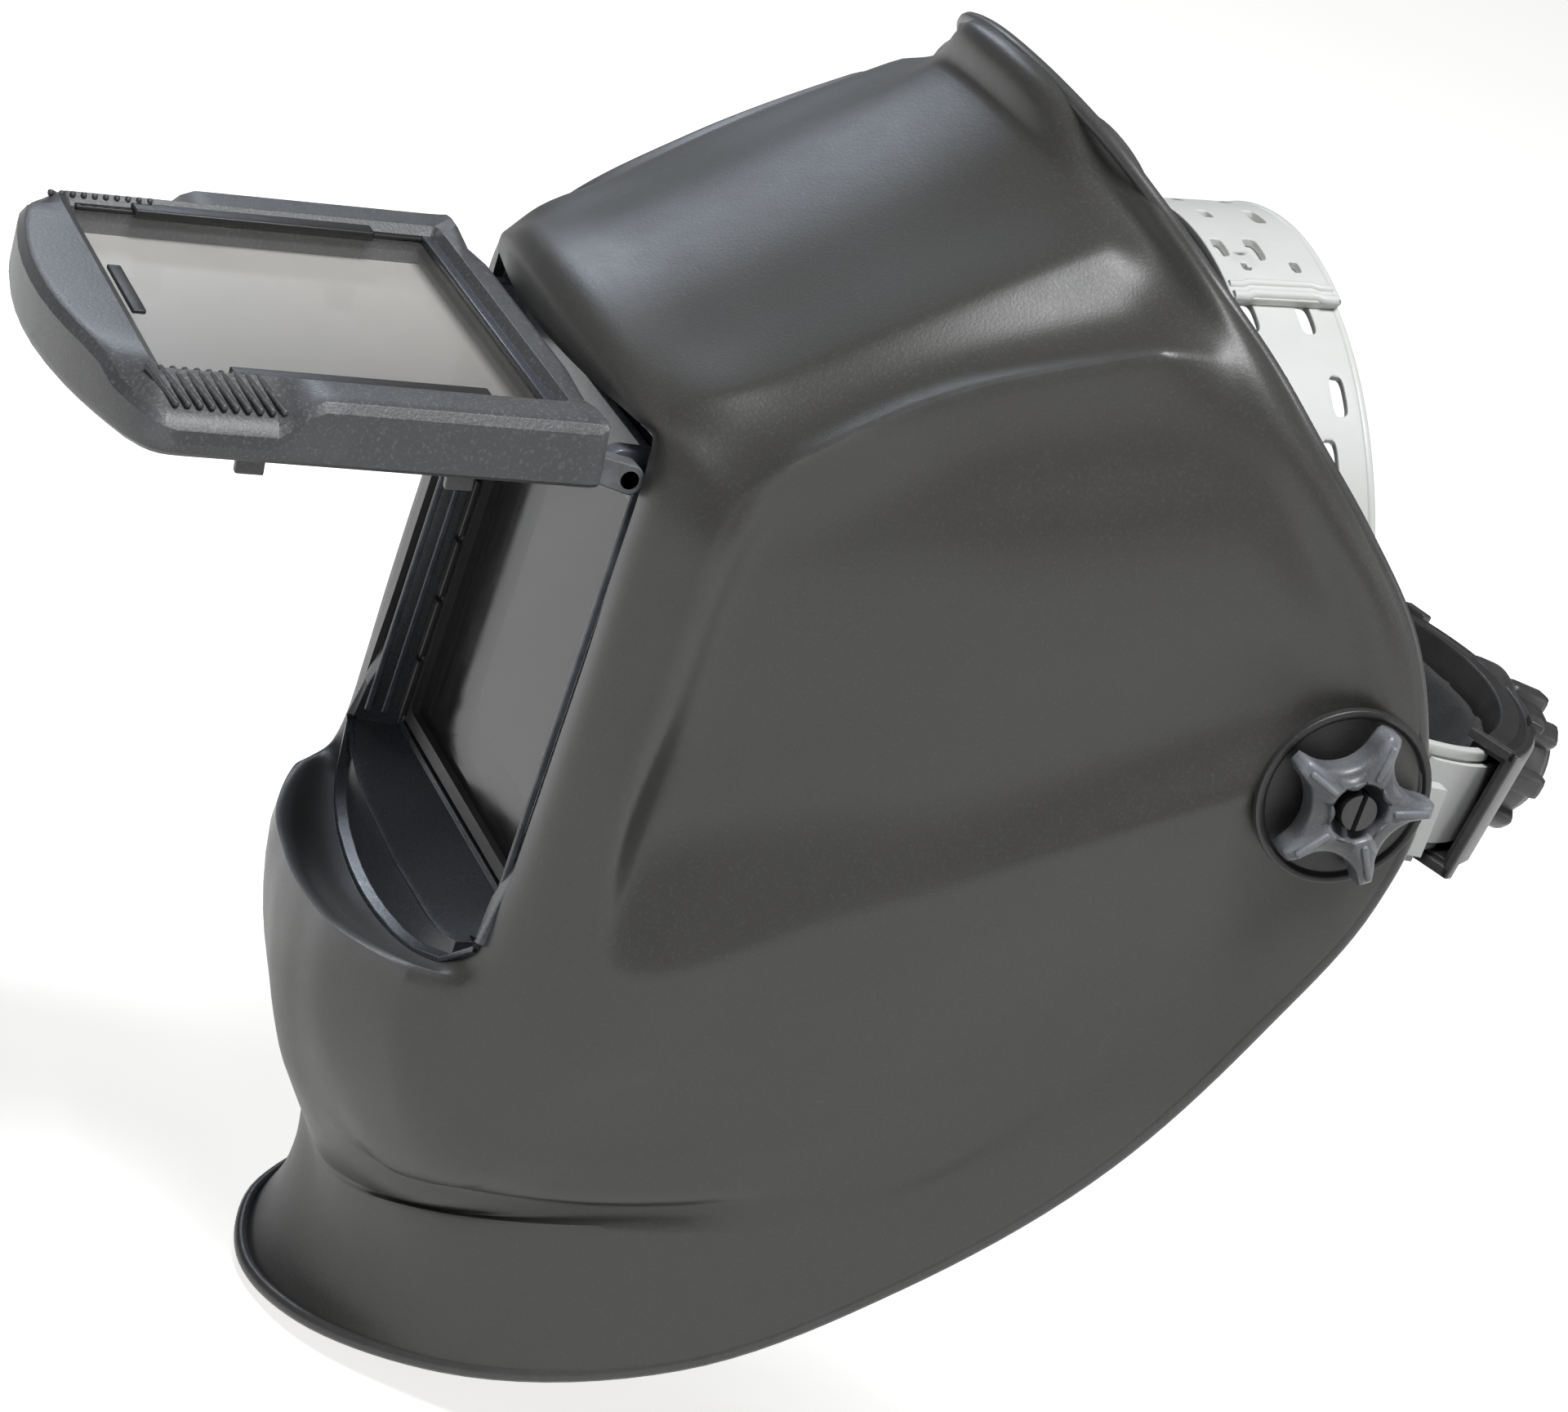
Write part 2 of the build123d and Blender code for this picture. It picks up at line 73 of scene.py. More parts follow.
# ------------------------------------------------------------------ node kits
class Socket:
    """An output socket that can be used in Python sums.

    Args:
        kit: The node kit that adds the Math nodes.
        socket: The output socket that is wrapped.
    """

    def __init__(self, kit: "NodeKit", socket: bpy.types.NodeSocket) -> None:
        self.kit = kit
        self.socket = socket

    def _math(self, operation: str, first: Any, second: Any) -> "Socket":
        """Adds one Math node.

        Args:
            operation: Name of the Math operation.
            first: First number or socket.
            second: Second number or socket.

        Returns:
            The node's value as a new socket.
        """
        node = self.kit.add(self.kit.math_type, {"operation": operation}, {0: first, 1: second})
        return Socket(self.kit, node.outputs[0])

    def __add__(self, other: Any) -> "Socket":
        """Returns self + other."""
        return self._math("ADD", self, other)

    def __radd__(self, other: Any) -> "Socket":
        """Returns other + self."""
        return self._math("ADD", other, self)

    def __sub__(self, other: Any) -> "Socket":
        """Returns self - other."""
        return self._math("SUBTRACT", self, other)

    def __rsub__(self, other: Any) -> "Socket":
        """Returns other - self."""
        return self._math("SUBTRACT", other, self)

    def __mul__(self, other: Any) -> "Socket":
        """Returns self * other."""
        return self._math("MULTIPLY", self, other)

    def __rmul__(self, other: Any) -> "Socket":
        """Returns other * self."""
        return self._math("MULTIPLY", other, self)

    def __truediv__(self, other: Any) -> "Socket":
        """Returns self / other."""
        return self._math("DIVIDE", self, other)

    def __rtruediv__(self, other: Any) -> "Socket":
        """Returns other / self."""
        return self._math("DIVIDE", other, self)

    def __pow__(self, other: Any) -> "Socket":
        """Returns self raised to other."""
        return self._math("POWER", self, other)


class NodeKit:
    """Adds nodes to one node tree, shader or geometry.

    Args:
        tree: The node tree.
    """

    math_type = "ShaderNodeMath"

    def __init__(self, tree: bpy.types.NodeTree) -> None:
        """Keeps the tree."""
        self.tree = tree

    def add(self, kind: str, settings: Optional[Dict[str, Any]] = None,
            inputs: Optional[Dict[Union[str, int], Any]] = None) -> bpy.types.Node:
        """Adds a node, its settings first and its sockets after.

        Args:
            kind: Node type, such as ShaderNodeTexNoise.
            settings: Attributes of the node; "stops" holds a ramp's stops.
            inputs: Values, sockets or wrapped sockets, by socket name or number.

        Returns:
            The new node.
        """
        node = self.tree.nodes.new(kind)
        for name, value in (settings or {}).items():
            if name == "stops":
                self._set_stops(node, value)
            else:
                setattr(node, name, value)
        for key, value in (inputs or {}).items():
            self.feed(node.inputs[key], value)
        return node

    def feed(self, target: bpy.types.NodeSocket, value: Any) -> None:
        """Links or sets one input socket."""
        if isinstance(value, Socket):
            self.tree.links.new(value.socket, target)
        elif isinstance(value, bpy.types.NodeSocket):
            self.tree.links.new(value, target)
        else:
            target.default_value = value

    def out(self, node: bpy.types.Node, key: Union[str, int] = 0) -> Socket:
        """Returns one output of a node, wrapped."""
        return Socket(self, node.outputs[key])

    @staticmethod
    def _set_stops(node: bpy.types.Node, stops: Sequence[Tuple[float, Number]]) -> None:
        """Sets the stops of a colour ramp from (place, grey level) pairs."""
        ramp = node.color_ramp
        while len(ramp.elements) < len(stops):
            ramp.elements.new(0.5)
        for element, (place, level) in zip(ramp.elements, stops):
            element.position = place
            element.color = (level, level, level, 1.0)


class SurfaceKit(NodeKit):
    """Shader nodes of one finish, on object coordinates.

    Args:
        name: Name of the material.
    """

    def __init__(self, name: str) -> None:
        """Makes the material with a Principled shader."""
        self.material = bpy.data.materials.new(name)
        self.material.use_nodes = True
        super().__init__(self.material.node_tree)
        self.tree.nodes.clear()
        self.shader = self.add("ShaderNodeBsdfPrincipled")
        self.end = self.add("ShaderNodeOutputMaterial", None, {"Surface": self.shader.outputs[0]})
        self.place = self.add("ShaderNodeTexCoord").outputs["Object"]

    def noise(self, scale: float, detail: float = 2.0, rough: float = 0.5,
              stretch: Optional[Point] = None) -> Socket:
        """Returns a noise value; stretch scales the axes for brushed or moulded flow."""
        where: Any = self.place
        if stretch:
            where = self.add("ShaderNodeMapping", None, {"Vector": self.place, "Scale": stretch}).outputs[0]
        node = self.add("ShaderNodeTexNoise", None,
                        {"Vector": where, "Scale": scale, "Detail": detail, "Roughness": rough})
        return self.out(node, 0)

    def cells(self, scale: float) -> Socket:
        """Returns the distance value of a Voronoi pattern."""
        return self.out(self.add("ShaderNodeTexVoronoi", None, {"Vector": self.place, "Scale": scale}), 0)

    def ramp(self, value: Any, stops: Sequence[Tuple[float, Number]]) -> Socket:
        """Returns value passed through a ramp."""
        return self.out(self.add("ShaderNodeValToRGB", {"stops": stops}, {0: value}), 0)

    def edges(self, low: float = 0.515, high: float = 0.56) -> Socket:
        """Returns a mask that is bright on convex edges."""
        geometry = self.add("ShaderNodeNewGeometry")
        return self.ramp(geometry.outputs["Pointiness"], [(low, 0.0), (high, 1.0)])

    def blend(self, factor: Any, first: Any, second: Any) -> Socket:
        """Returns a mix of two colours."""
        node = self.add("ShaderNodeMix", {"data_type": "RGBA"}, {"Factor": factor})
        self.feed(node.inputs[6], (*first, 1.0) if isinstance(first, tuple) else first)
        self.feed(node.inputs[7], (*second, 1.0) if isinstance(second, tuple) else second)
        return self.out(node, 2)

    def bump(self, height: Any, strength: float, distance: float, under: Any = None) -> Socket:
        """Returns a bumped normal, over another one where under is given."""
        inputs: Dict[Union[str, int], Any] = {"Height": height, "Strength": strength, "Distance": distance}
        if under is not None:
            inputs["Normal"] = under
        return self.out(self.add("ShaderNodeBump", None, inputs), 0)

    def set(self, **sockets: Any) -> None:
        """Feeds sockets of the Principled shader; underscores stand for spaces."""
        for name, value in sockets.items():
            self.feed(self.shader.inputs[name.replace("_", " ")], value)


class GrowthKit(NodeKit):
    """Geometry nodes of one repeating or path-following piece.

    Args:
        name: Name of the node group.
        sizes: Named float, integer or vector inputs with their values.
        material: Material that the group sets.
    """

    def __init__(self, name: str, sizes: Dict[str, Any], material: bpy.types.Material) -> None:
        """Makes the group with its named inputs."""
        super().__init__(bpy.data.node_groups.new(name, "GeometryNodeTree"))
        self.sizes = sizes
        self.material = material
        self.keys: Dict[str, str] = {}
        face = self.tree.interface
        face.new_socket("Geometry", in_out="INPUT", socket_type="NodeSocketGeometry")
        for label, value in sizes.items():
            kind = "NodeSocketFloat"
            if isinstance(value, int):
                kind = "NodeSocketInt"
            if isinstance(value, (tuple, Vector)):
                kind = "NodeSocketVector"
            self.keys[label] = face.new_socket(label, in_out="INPUT", socket_type=kind).identifier
        face.new_socket("Geometry", in_out="OUTPUT", socket_type="NodeSocketGeometry")
        self.start = self.add("NodeGroupInput")
        self.finish_node = self.add("NodeGroupOutput")

    def size(self, label: str) -> Socket:
        """Returns one named input."""
        return self.out(self.start, label)

    def grow(self, geometry: Any, base: bpy.types.Mesh, name: str, smooth: bool = True) -> bpy.types.Object:
        """Closes the tree and turns its result into a plain mesh object.

        Args:
            geometry: Socket that holds the finished geometry.
            base: Mesh that the tree starts from.
            name: Name of the new object.
            smooth: Whether the faces are shaded smooth.

        Returns:
            A mesh object with no modifier on it.
        """
        real = self.add("GeometryNodeRealizeInstances", None, {0: geometry})
        shade = self.add("GeometryNodeSetShadeSmooth", None, {0: real.outputs[0], "Shade Smooth": smooth})
        dress = self.add("GeometryNodeSetMaterial", None, {0: shade.outputs[0], "Material": self.material})
        self.feed(self.finish_node.inputs[0], dress.outputs[0])
        seed = bpy.data.objects.new(name + ".seed", base)
        bpy.context.scene.collection.objects.link(seed)
        modifier = seed.modifiers.new("grow", "NODES")
        modifier.node_group = self.tree
        for label, value in self.sizes.items():
            modifier[self.keys[label]] = value
        bpy.context.view_layer.update()
        graph = bpy.context.evaluated_depsgraph_get()
        mesh = bpy.data.meshes.new_from_object(seed.evaluated_get(graph))
        seed.modifiers.remove(modifier)
        bpy.data.objects.remove(seed)
        mesh.name = name
        grown = bpy.data.objects.new(name, mesh)
        bpy.context.scene.collection.objects.link(grown)
        return grown


# ------------------------------------------------------------------- finishes
@dataclass(frozen=True)
class MouldedPlastic:
    """Matte moulded plastic with fine spark-eroded grain, light specks painted in as tiny glints, and rubbed edges.

    Attributes:
        name: Name of the material.
        colour: Main colour.
        tint: Second colour of the slow variation.
        wear_and_glint: Colour of rubbed edges and of the painted glint specks.
        rough: Middle roughness.
        grain: Grain cells per metre.
        depth: Height of the grain in metres.
        wear: Strength of the rubbed edges.
        spark: Share of light specks painted into the grain as tiny glints.
        coat: Weight of the clear sheen.
    """

    name: str
    colour: Rgb
    tint: Rgb
    wear_and_glint: Rgb
    rough: float = 0.5
    grain: float = 1700.0
    depth: float = 0.00012
    wear: float = 0.5
    spark: float = 0.3
    coat: float = 0.0

    def material(self) -> bpy.types.Material:
        """Builds the node material.

        Returns:
            The finished material.
        """
        kit = SurfaceKit(self.name)
        slow = kit.noise(9.0, 3.0)
        fine = kit.noise(self.grain, 2.0, 0.6)
        scuff = kit.noise(150.0, 4.0, 0.65)
        base = kit.blend(kit.ramp(slow, [(0.35, 0.0), (0.65, 1.0)]), self.colour, self.tint)
        # painted glint: light specks in the grain stand in for tiny highlights of a pearly sheen
        painted_glint = kit.ramp(fine, [(0.54, 0.0), (0.74, 1.0)]) * self.spark
        glint_coloured = kit.blend(painted_glint, base, self.wear_and_glint)
        rubbed = kit.edges() * kit.ramp(scuff, [(0.3, 0.35), (0.7, 1.0)]) * self.wear
        colour = kit.blend(rubbed, glint_coloured, self.wear_and_glint)
        rough = (fine * 0.16) + (scuff * 0.08) + (self.rough - 0.12) - (rubbed * 0.12)
        under = kit.bump(scuff, 0.15, self.depth * 1.5)
        kit.set(Base_Color=colour, Roughness=rough, Normal=kit.bump(fine, 0.5, self.depth, under),
                Coat_Weight=self.coat, Coat_Roughness=0.35)
        return kit.material


@dataclass(frozen=True)
class SatinPlastic:
    """Smooth satin strap plastic with faint flow marks, handling dirt and painted shade in its hollows.

    Attributes:
        name: Name of the material.
        colour: Main colour.
        dirt_and_shade_colour: Colour of the dirt and of the painted shade in the hollows.
        rough: Middle roughness.
    """

    name: str
    colour: Rgb
    dirt_and_shade_colour: Rgb
    rough: float = 0.38

    def material(self) -> bpy.types.Material:
        """Builds the node material.

        Returns:
            The finished material.
        """
        kit = SurfaceKit(self.name)
        flow = kit.noise(45.0, 3.0, 0.55, (1.0, 1.0, 4.0))
        fine = kit.noise(900.0, 2.0, 0.5)
        geometry = kit.add("ShaderNodeNewGeometry")
        # painted shade: concave hollows, found by pointiness, are darkened towards the dirt colour; the noise below
        # adds real dirt
        hollow = kit.ramp(geometry.outputs["Pointiness"], [(0.44, 1.0), (0.497, 0.0)])
        dirt = kit.ramp(kit.noise(70.0, 4.0, 0.6), [(0.42, 0.0), (0.75, 1.0)])
        dirt_and_shade_mask = (hollow * 0.55) + (dirt * 0.18)
        clean_tone = kit.blend(flow, self.colour, tuple(c * 0.93 for c in self.colour))
        colour = kit.blend(dirt_and_shade_mask, clean_tone, self.dirt_and_shade_colour)
        rough = (flow * 0.14) + (dirt * 0.12) + (self.rough - 0.1)
        under = kit.bump(flow, 0.12, 0.0004)
        kit.set(Base_Color=colour, Roughness=rough, Normal=kit.bump(fine, 0.22, 0.00006, under),
                Subsurface_Weight=0.08, Subsurface_Radius=(0.004, 0.004, 0.004), Subsurface_Scale=1.0)
        return kit.material


@dataclass(frozen=True)
class SheetGlass:
    """Flat lens sheet with smears, fine scratches and a painted reflection that lightens it towards one side.

    Attributes:
        name: Name of the material.
        colour: Body colour.
        alpha: Middle opacity.
        rough: Middle roughness.
        pale: How much lighter the sheet gets towards the wearer's right, a painted reflection.
    """

    name: str
    colour: Rgb
    alpha: float
    rough: float = 0.06
    pale: float = 0.0

    def material(self) -> bpy.types.Material:
        """Builds the node material.

        Returns:
            The finished material.
        """
        kit = SurfaceKit(self.name)
        smear = kit.noise(38.0, 5.0, 0.6, (1.0, 2.5, 1.0))
        fine = kit.noise(700.0, 3.0, 0.7, (0.15, 1.0, 1.0))
        scratch = kit.ramp(fine, [(0.66, 0.0), (0.72, 1.0)])
        haze = kit.ramp(smear, [(0.45, 0.0), (0.8, 1.0)])
        across = kit.out(kit.add("ShaderNodeSeparateXYZ", None, {"Vector": kit.place}), 0)
        # painted reflection: the sheet gets lighter towards negative X, the wearer's right, by the pale share
        side = kit.ramp(0.5 - across * 9.0, [(0.1, 0.0), (0.95, 1.0)]) * self.pale
        body = kit.blend(side, self.colour, tuple(min(1.0, c * 2.6 + 0.1) for c in self.colour))
        colour = kit.blend(haze * 0.18, body, tuple(min(1.0, c * 1.35 + 0.03) for c in self.colour))
        kit.set(Base_Color=colour, Roughness=(haze * 0.08) + (scratch * 0.1) + self.rough,
                Alpha=(haze * 0.02) + (scratch * 0.02) + self.alpha, IOR=1.49, Specular_IOR_Level=0.5,
                Normal=kit.bump(scratch, 0.04, 0.00001))
        return kit.material


@dataclass(frozen=True)
class KnitCloth:
    """Looped sweatband cloth.

    Attributes:
        name: Name of the material.
        colour: Yarn colour.
        deep: Colour between the loops.
        pitch: Loops per metre.
    """

    name: str
    colour: Rgb
    deep: Rgb
    pitch: float = 720.0

    def material(self) -> bpy.types.Material:
        """Builds the node material.

        Returns:
            The finished material.
        """
        kit = SurfaceKit(self.name)
        loop = kit.cells(self.pitch)
        fuzz = kit.noise(2600.0, 3.0, 0.7)
        tone = kit.noise(30.0, 3.0)
        body = kit.blend(kit.ramp(loop, [(0.1, 1.0), (0.75, 0.0)]), self.deep, self.colour)
        colour = kit.blend(tone * 0.4, body, tuple(c * 0.65 for c in self.colour))
        height = (1.0 - loop) * 0.8 + fuzz * 0.3
        kit.set(Base_Color=colour, Roughness=(fuzz * 0.1) + 0.85, Normal=kit.bump(height, 0.8, 0.0005),
                Sheen_Weight=0.35, Sheen_Roughness=0.5)
        return kit.material


@dataclass(frozen=True)
class CellFoam:
    """Open-cell pad foam with a skinned face.

    Attributes:
        name: Name of the material.
        colour: Skin colour.
        pore: Colour in the pores.
    """

    name: str
    colour: Rgb
    pore: Rgb

    def material(self) -> bpy.types.Material:
        """Builds the node material.

        Returns:
            The finished material.
        """
        kit = SurfaceKit(self.name)
        cell = kit.cells(1300.0)
        tone = kit.noise(60.0, 3.0)
        hole = kit.ramp(cell, [(0.12, 1.0), (0.3, 0.0)])
        walls = kit.blend(tone, self.colour, tuple(c * 0.8 for c in self.colour))
        colour = kit.blend(hole * 0.8, walls, self.pore)
        kit.set(Base_Color=colour, Roughness=(tone * 0.15) + 0.75, Normal=kit.bump(1.0 - hole, 0.6, 0.0004))
        return kit.material


@dataclass(frozen=True)
class PlatedSteel:
    """Zinc-plated steel with turning marks and dull patches.

    Attributes:
        name: Name of the material.
        colour: Plating colour.
        dull: Colour of the tarnish.
    """

    name: str
    colour: Rgb
    dull: Rgb

    def material(self) -> bpy.types.Material:
        """Builds the node material.

        Returns:
            The finished material.
        """
        kit = SurfaceKit(self.name)
        marks = kit.noise(1400.0, 3.0, 0.6, (0.08, 1.0, 1.0))
        patch = kit.ramp(kit.noise(220.0, 4.0), [(0.4, 0.0), (0.7, 1.0)])
        kit.set(Base_Color=kit.blend(patch * 0.6, self.colour, self.dull), Metallic=0.95,
                Roughness=(marks * 0.2) + (patch * 0.2) + 0.22, Normal=kit.bump(marks, 0.3, 0.00005))
        return kit.material


class Finishes:
    """Every material of the helmet, made once."""

    def __init__(self) -> None:
        """Builds the node materials."""
        self.shell = MouldedPlastic("graphite_shell", (0.050, 0.0485, 0.046), (0.058, 0.056, 0.0525),
                                    (0.17, 0.172, 0.176), 0.40, 1500.0, 0.00008, 0.3, 0.16).material()
        self.trim = MouldedPlastic("graphite_trim", (0.062, 0.063, 0.066), (0.072, 0.073, 0.075),
                                   (0.30, 0.31, 0.33), 0.42, 1300.0, 0.00014, 0.6, 0.35).material()
        self.insert = MouldedPlastic("window_insert_plastic", (0.036, 0.039, 0.046), (0.046, 0.050, 0.060),
                                     (0.26, 0.28, 0.33), 0.30, 1900.0, 0.00006, 0.7, 0.22).material()
        self.knob = MouldedPlastic("star_knob_plastic", (0.105, 0.109, 0.117), (0.12, 0.124, 0.132),
                                   (0.32, 0.34, 0.37), 0.36, 1700.0, 0.00008, 0.7, 0.25).material()
        self.black = MouldedPlastic("ratchet_black", (0.018, 0.017, 0.017), (0.026, 0.024, 0.023),
                                    (0.10, 0.10, 0.10), 0.45, 1500.0, 0.00008, 0.5, 0.15).material()
        self.inside = MouldedPlastic("liner_brown_black", (0.013, 0.012, 0.0115), (0.018, 0.016, 0.015),
                                     (0.05, 0.05, 0.05), 0.6, 1500.0, 0.00008, 0.3, 0.1).material()
        self.strap = SatinPlastic("strap_white", (0.68, 0.69, 0.67), (0.42, 0.41, 0.38)).material()
        # the filter carries the full painted reflection across its width
        self.filter = SheetGlass("filter_grey", (0.215, 0.205, 0.19), 0.86, 0.36, 1.0).material()
        self.cover = SheetGlass("cover_clear", (0.50, 0.49, 0.47), 0.08, 0.34).material()
        # painted shade: the clear plate is tinted near black and mostly opaque to darken the interior seen through
        # the window
        self.clear = SheetGlass("clear_plate", (0.045, 0.043, 0.041), 0.62, 0.10).material()
        self.cloth = KnitCloth("sweatband_knit", (0.055, 0.055, 0.06), (0.012, 0.012, 0.013)).material()
        self.foam = CellFoam("pad_foam", (0.045, 0.045, 0.047), (0.008, 0.008, 0.008)).material()
        self.rubber = MouldedPlastic("seal_rubber", (0.02, 0.02, 0.02), (0.028, 0.028, 0.028),
                                     (0.07, 0.07, 0.07), 0.72, 1100.0, 0.00008, 0.3, 0.1).material()
        self.steel = PlatedSteel("zinc_steel", (0.58, 0.58, 0.56), (0.28, 0.27, 0.25)).material()


# ----------------------------------------------------------------- mesh tools
def add_object(name: str, mesh: bpy.types.Mesh) -> bpy.types.Object:
    """Returns a new object of a mesh, linked to the scene."""
    made = bpy.data.objects.new(name, mesh)
    bpy.context.scene.collection.objects.link(made)
    return made


def mesh_from(name: str, points: Iterable[Sequence[float]], faces: Iterable[Sequence[int]],
              scale: float = MM) -> bpy.types.Mesh:
    """Makes a mesh from points in millimetres.

    Args:
        name: Name of the mesh.
        points: Vertex places.
        faces: Vertex numbers of each face.
        scale: Metres per unit.

    Returns:
        The mesh, shaded smooth.
    """
    mesh = bpy.data.meshes.new(name)
    mesh.from_pydata([tuple(c * scale for c in p) for p in points], [], [tuple(f) for f in faces])
    mesh.update()
    mesh.shade_smooth()
    return mesh


def clean(mesh: bpy.types.Mesh, distance: float = 1e-6) -> None:
    """Merges doubles and turns every face outwards."""
    work = bmesh.new()
    work.from_mesh(mesh)
    bmesh.ops.remove_doubles(work, verts=work.verts, dist=distance)
    bmesh.ops.recalc_face_normals(work, faces=work.faces)
    work.to_mesh(mesh)
    work.free()
    mesh.update()


def bake_modifiers(piece: bpy.types.Object) -> None:
    """Applies every modifier of a piece to its mesh."""
    bpy.context.view_layer.update()
    graph = bpy.context.evaluated_depsgraph_get()
    mesh = bpy.data.meshes.new_from_object(piece.evaluated_get(graph))
    piece.modifiers.clear()
    piece.data = mesh


def bevel(piece: bpy.types.Object, width: float, segments: int = 2, angle: float = 35.0) -> None:
    """Rounds the sharp edges of a piece, in millimetres, and shades it smooth by weighted normals."""
    work = piece.modifiers.new("edge", "BEVEL")
    work.width = width * MM
    work.segments = segments
    work.limit_method = "ANGLE"
    work.angle_limit = math.radians(angle)
    work.use_clamp_overlap = True
    work.harden_normals = False
    bake_modifiers(piece)
    piece.data.shade_smooth()
    even = piece.modifiers.new("even", "WEIGHTED_NORMAL")
    even.keep_sharp = True
    even.weight = 60
    bake_modifiers(piece)


def loft(rings: Sequence[Sequence[Sequence[float]]], close_ring: bool = True,
         cap_start: bool = False, cap_end: bool = False, close_path: bool = False
         ) -> Tuple[List[Sequence[float]], List[Tuple[int, ...]]]:
    """Joins rings of equal length with quads.

    Args:
        rings: The rings, each a list of points.
        close_ring: Whether each ring closes on itself.
        cap_start: Whether the first ring is filled.
        cap_end: Whether the last ring is filled.
        close_path: Whether the last ring joins the first.

    Returns:
        Points and faces.
    """
    count = len(rings[0])
    points = [p for ring in rings for p in ring]
    faces: List[Tuple[int, ...]] = []
    for r in range(len(rings) if close_path else len(rings) - 1):
        after = (r + 1) % len(rings)
        for k in range(count if close_ring else count - 1):
            n = (k + 1) % count
            faces.append((r * count + k, r * count + n, after * count + n, after * count + k))
    if cap_start:
        faces.append(tuple(range(count))[::-1])
    if cap_end:
        faces.append(tuple((len(rings) - 1) * count + k for k in range(count)))
    return points, faces


def dress(piece: bpy.types.Object, material: bpy.types.Material, body: Body, slot: str) -> bpy.types.Object:
    """Gives a piece its material and body, and logs it.

    Args:
        piece: The finished piece.
        material: Its finish.
        body: The body that it rides on.
        slot: The record's material slot; not used.

    Returns:
        The piece.
    """
    piece.data.materials.clear()
    piece.data.materials.append(material)
    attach(piece, body.value)
    LOG.info("%s: %d faces on %s", piece.name, len(piece.data.polygons), body.value)
    return piece


def dress_node(node: str, material: bpy.types.Material) -> None:
    """Gives a carried-over CAD node its finish."""
    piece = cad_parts[node]
    piece.data.materials.clear()
    piece.data.materials.append(material)
    for polygon in piece.data.polygons:
        polygon.material_index = 0
    LOG.info("node %s keeps its shape, finish %s", node, material.name)


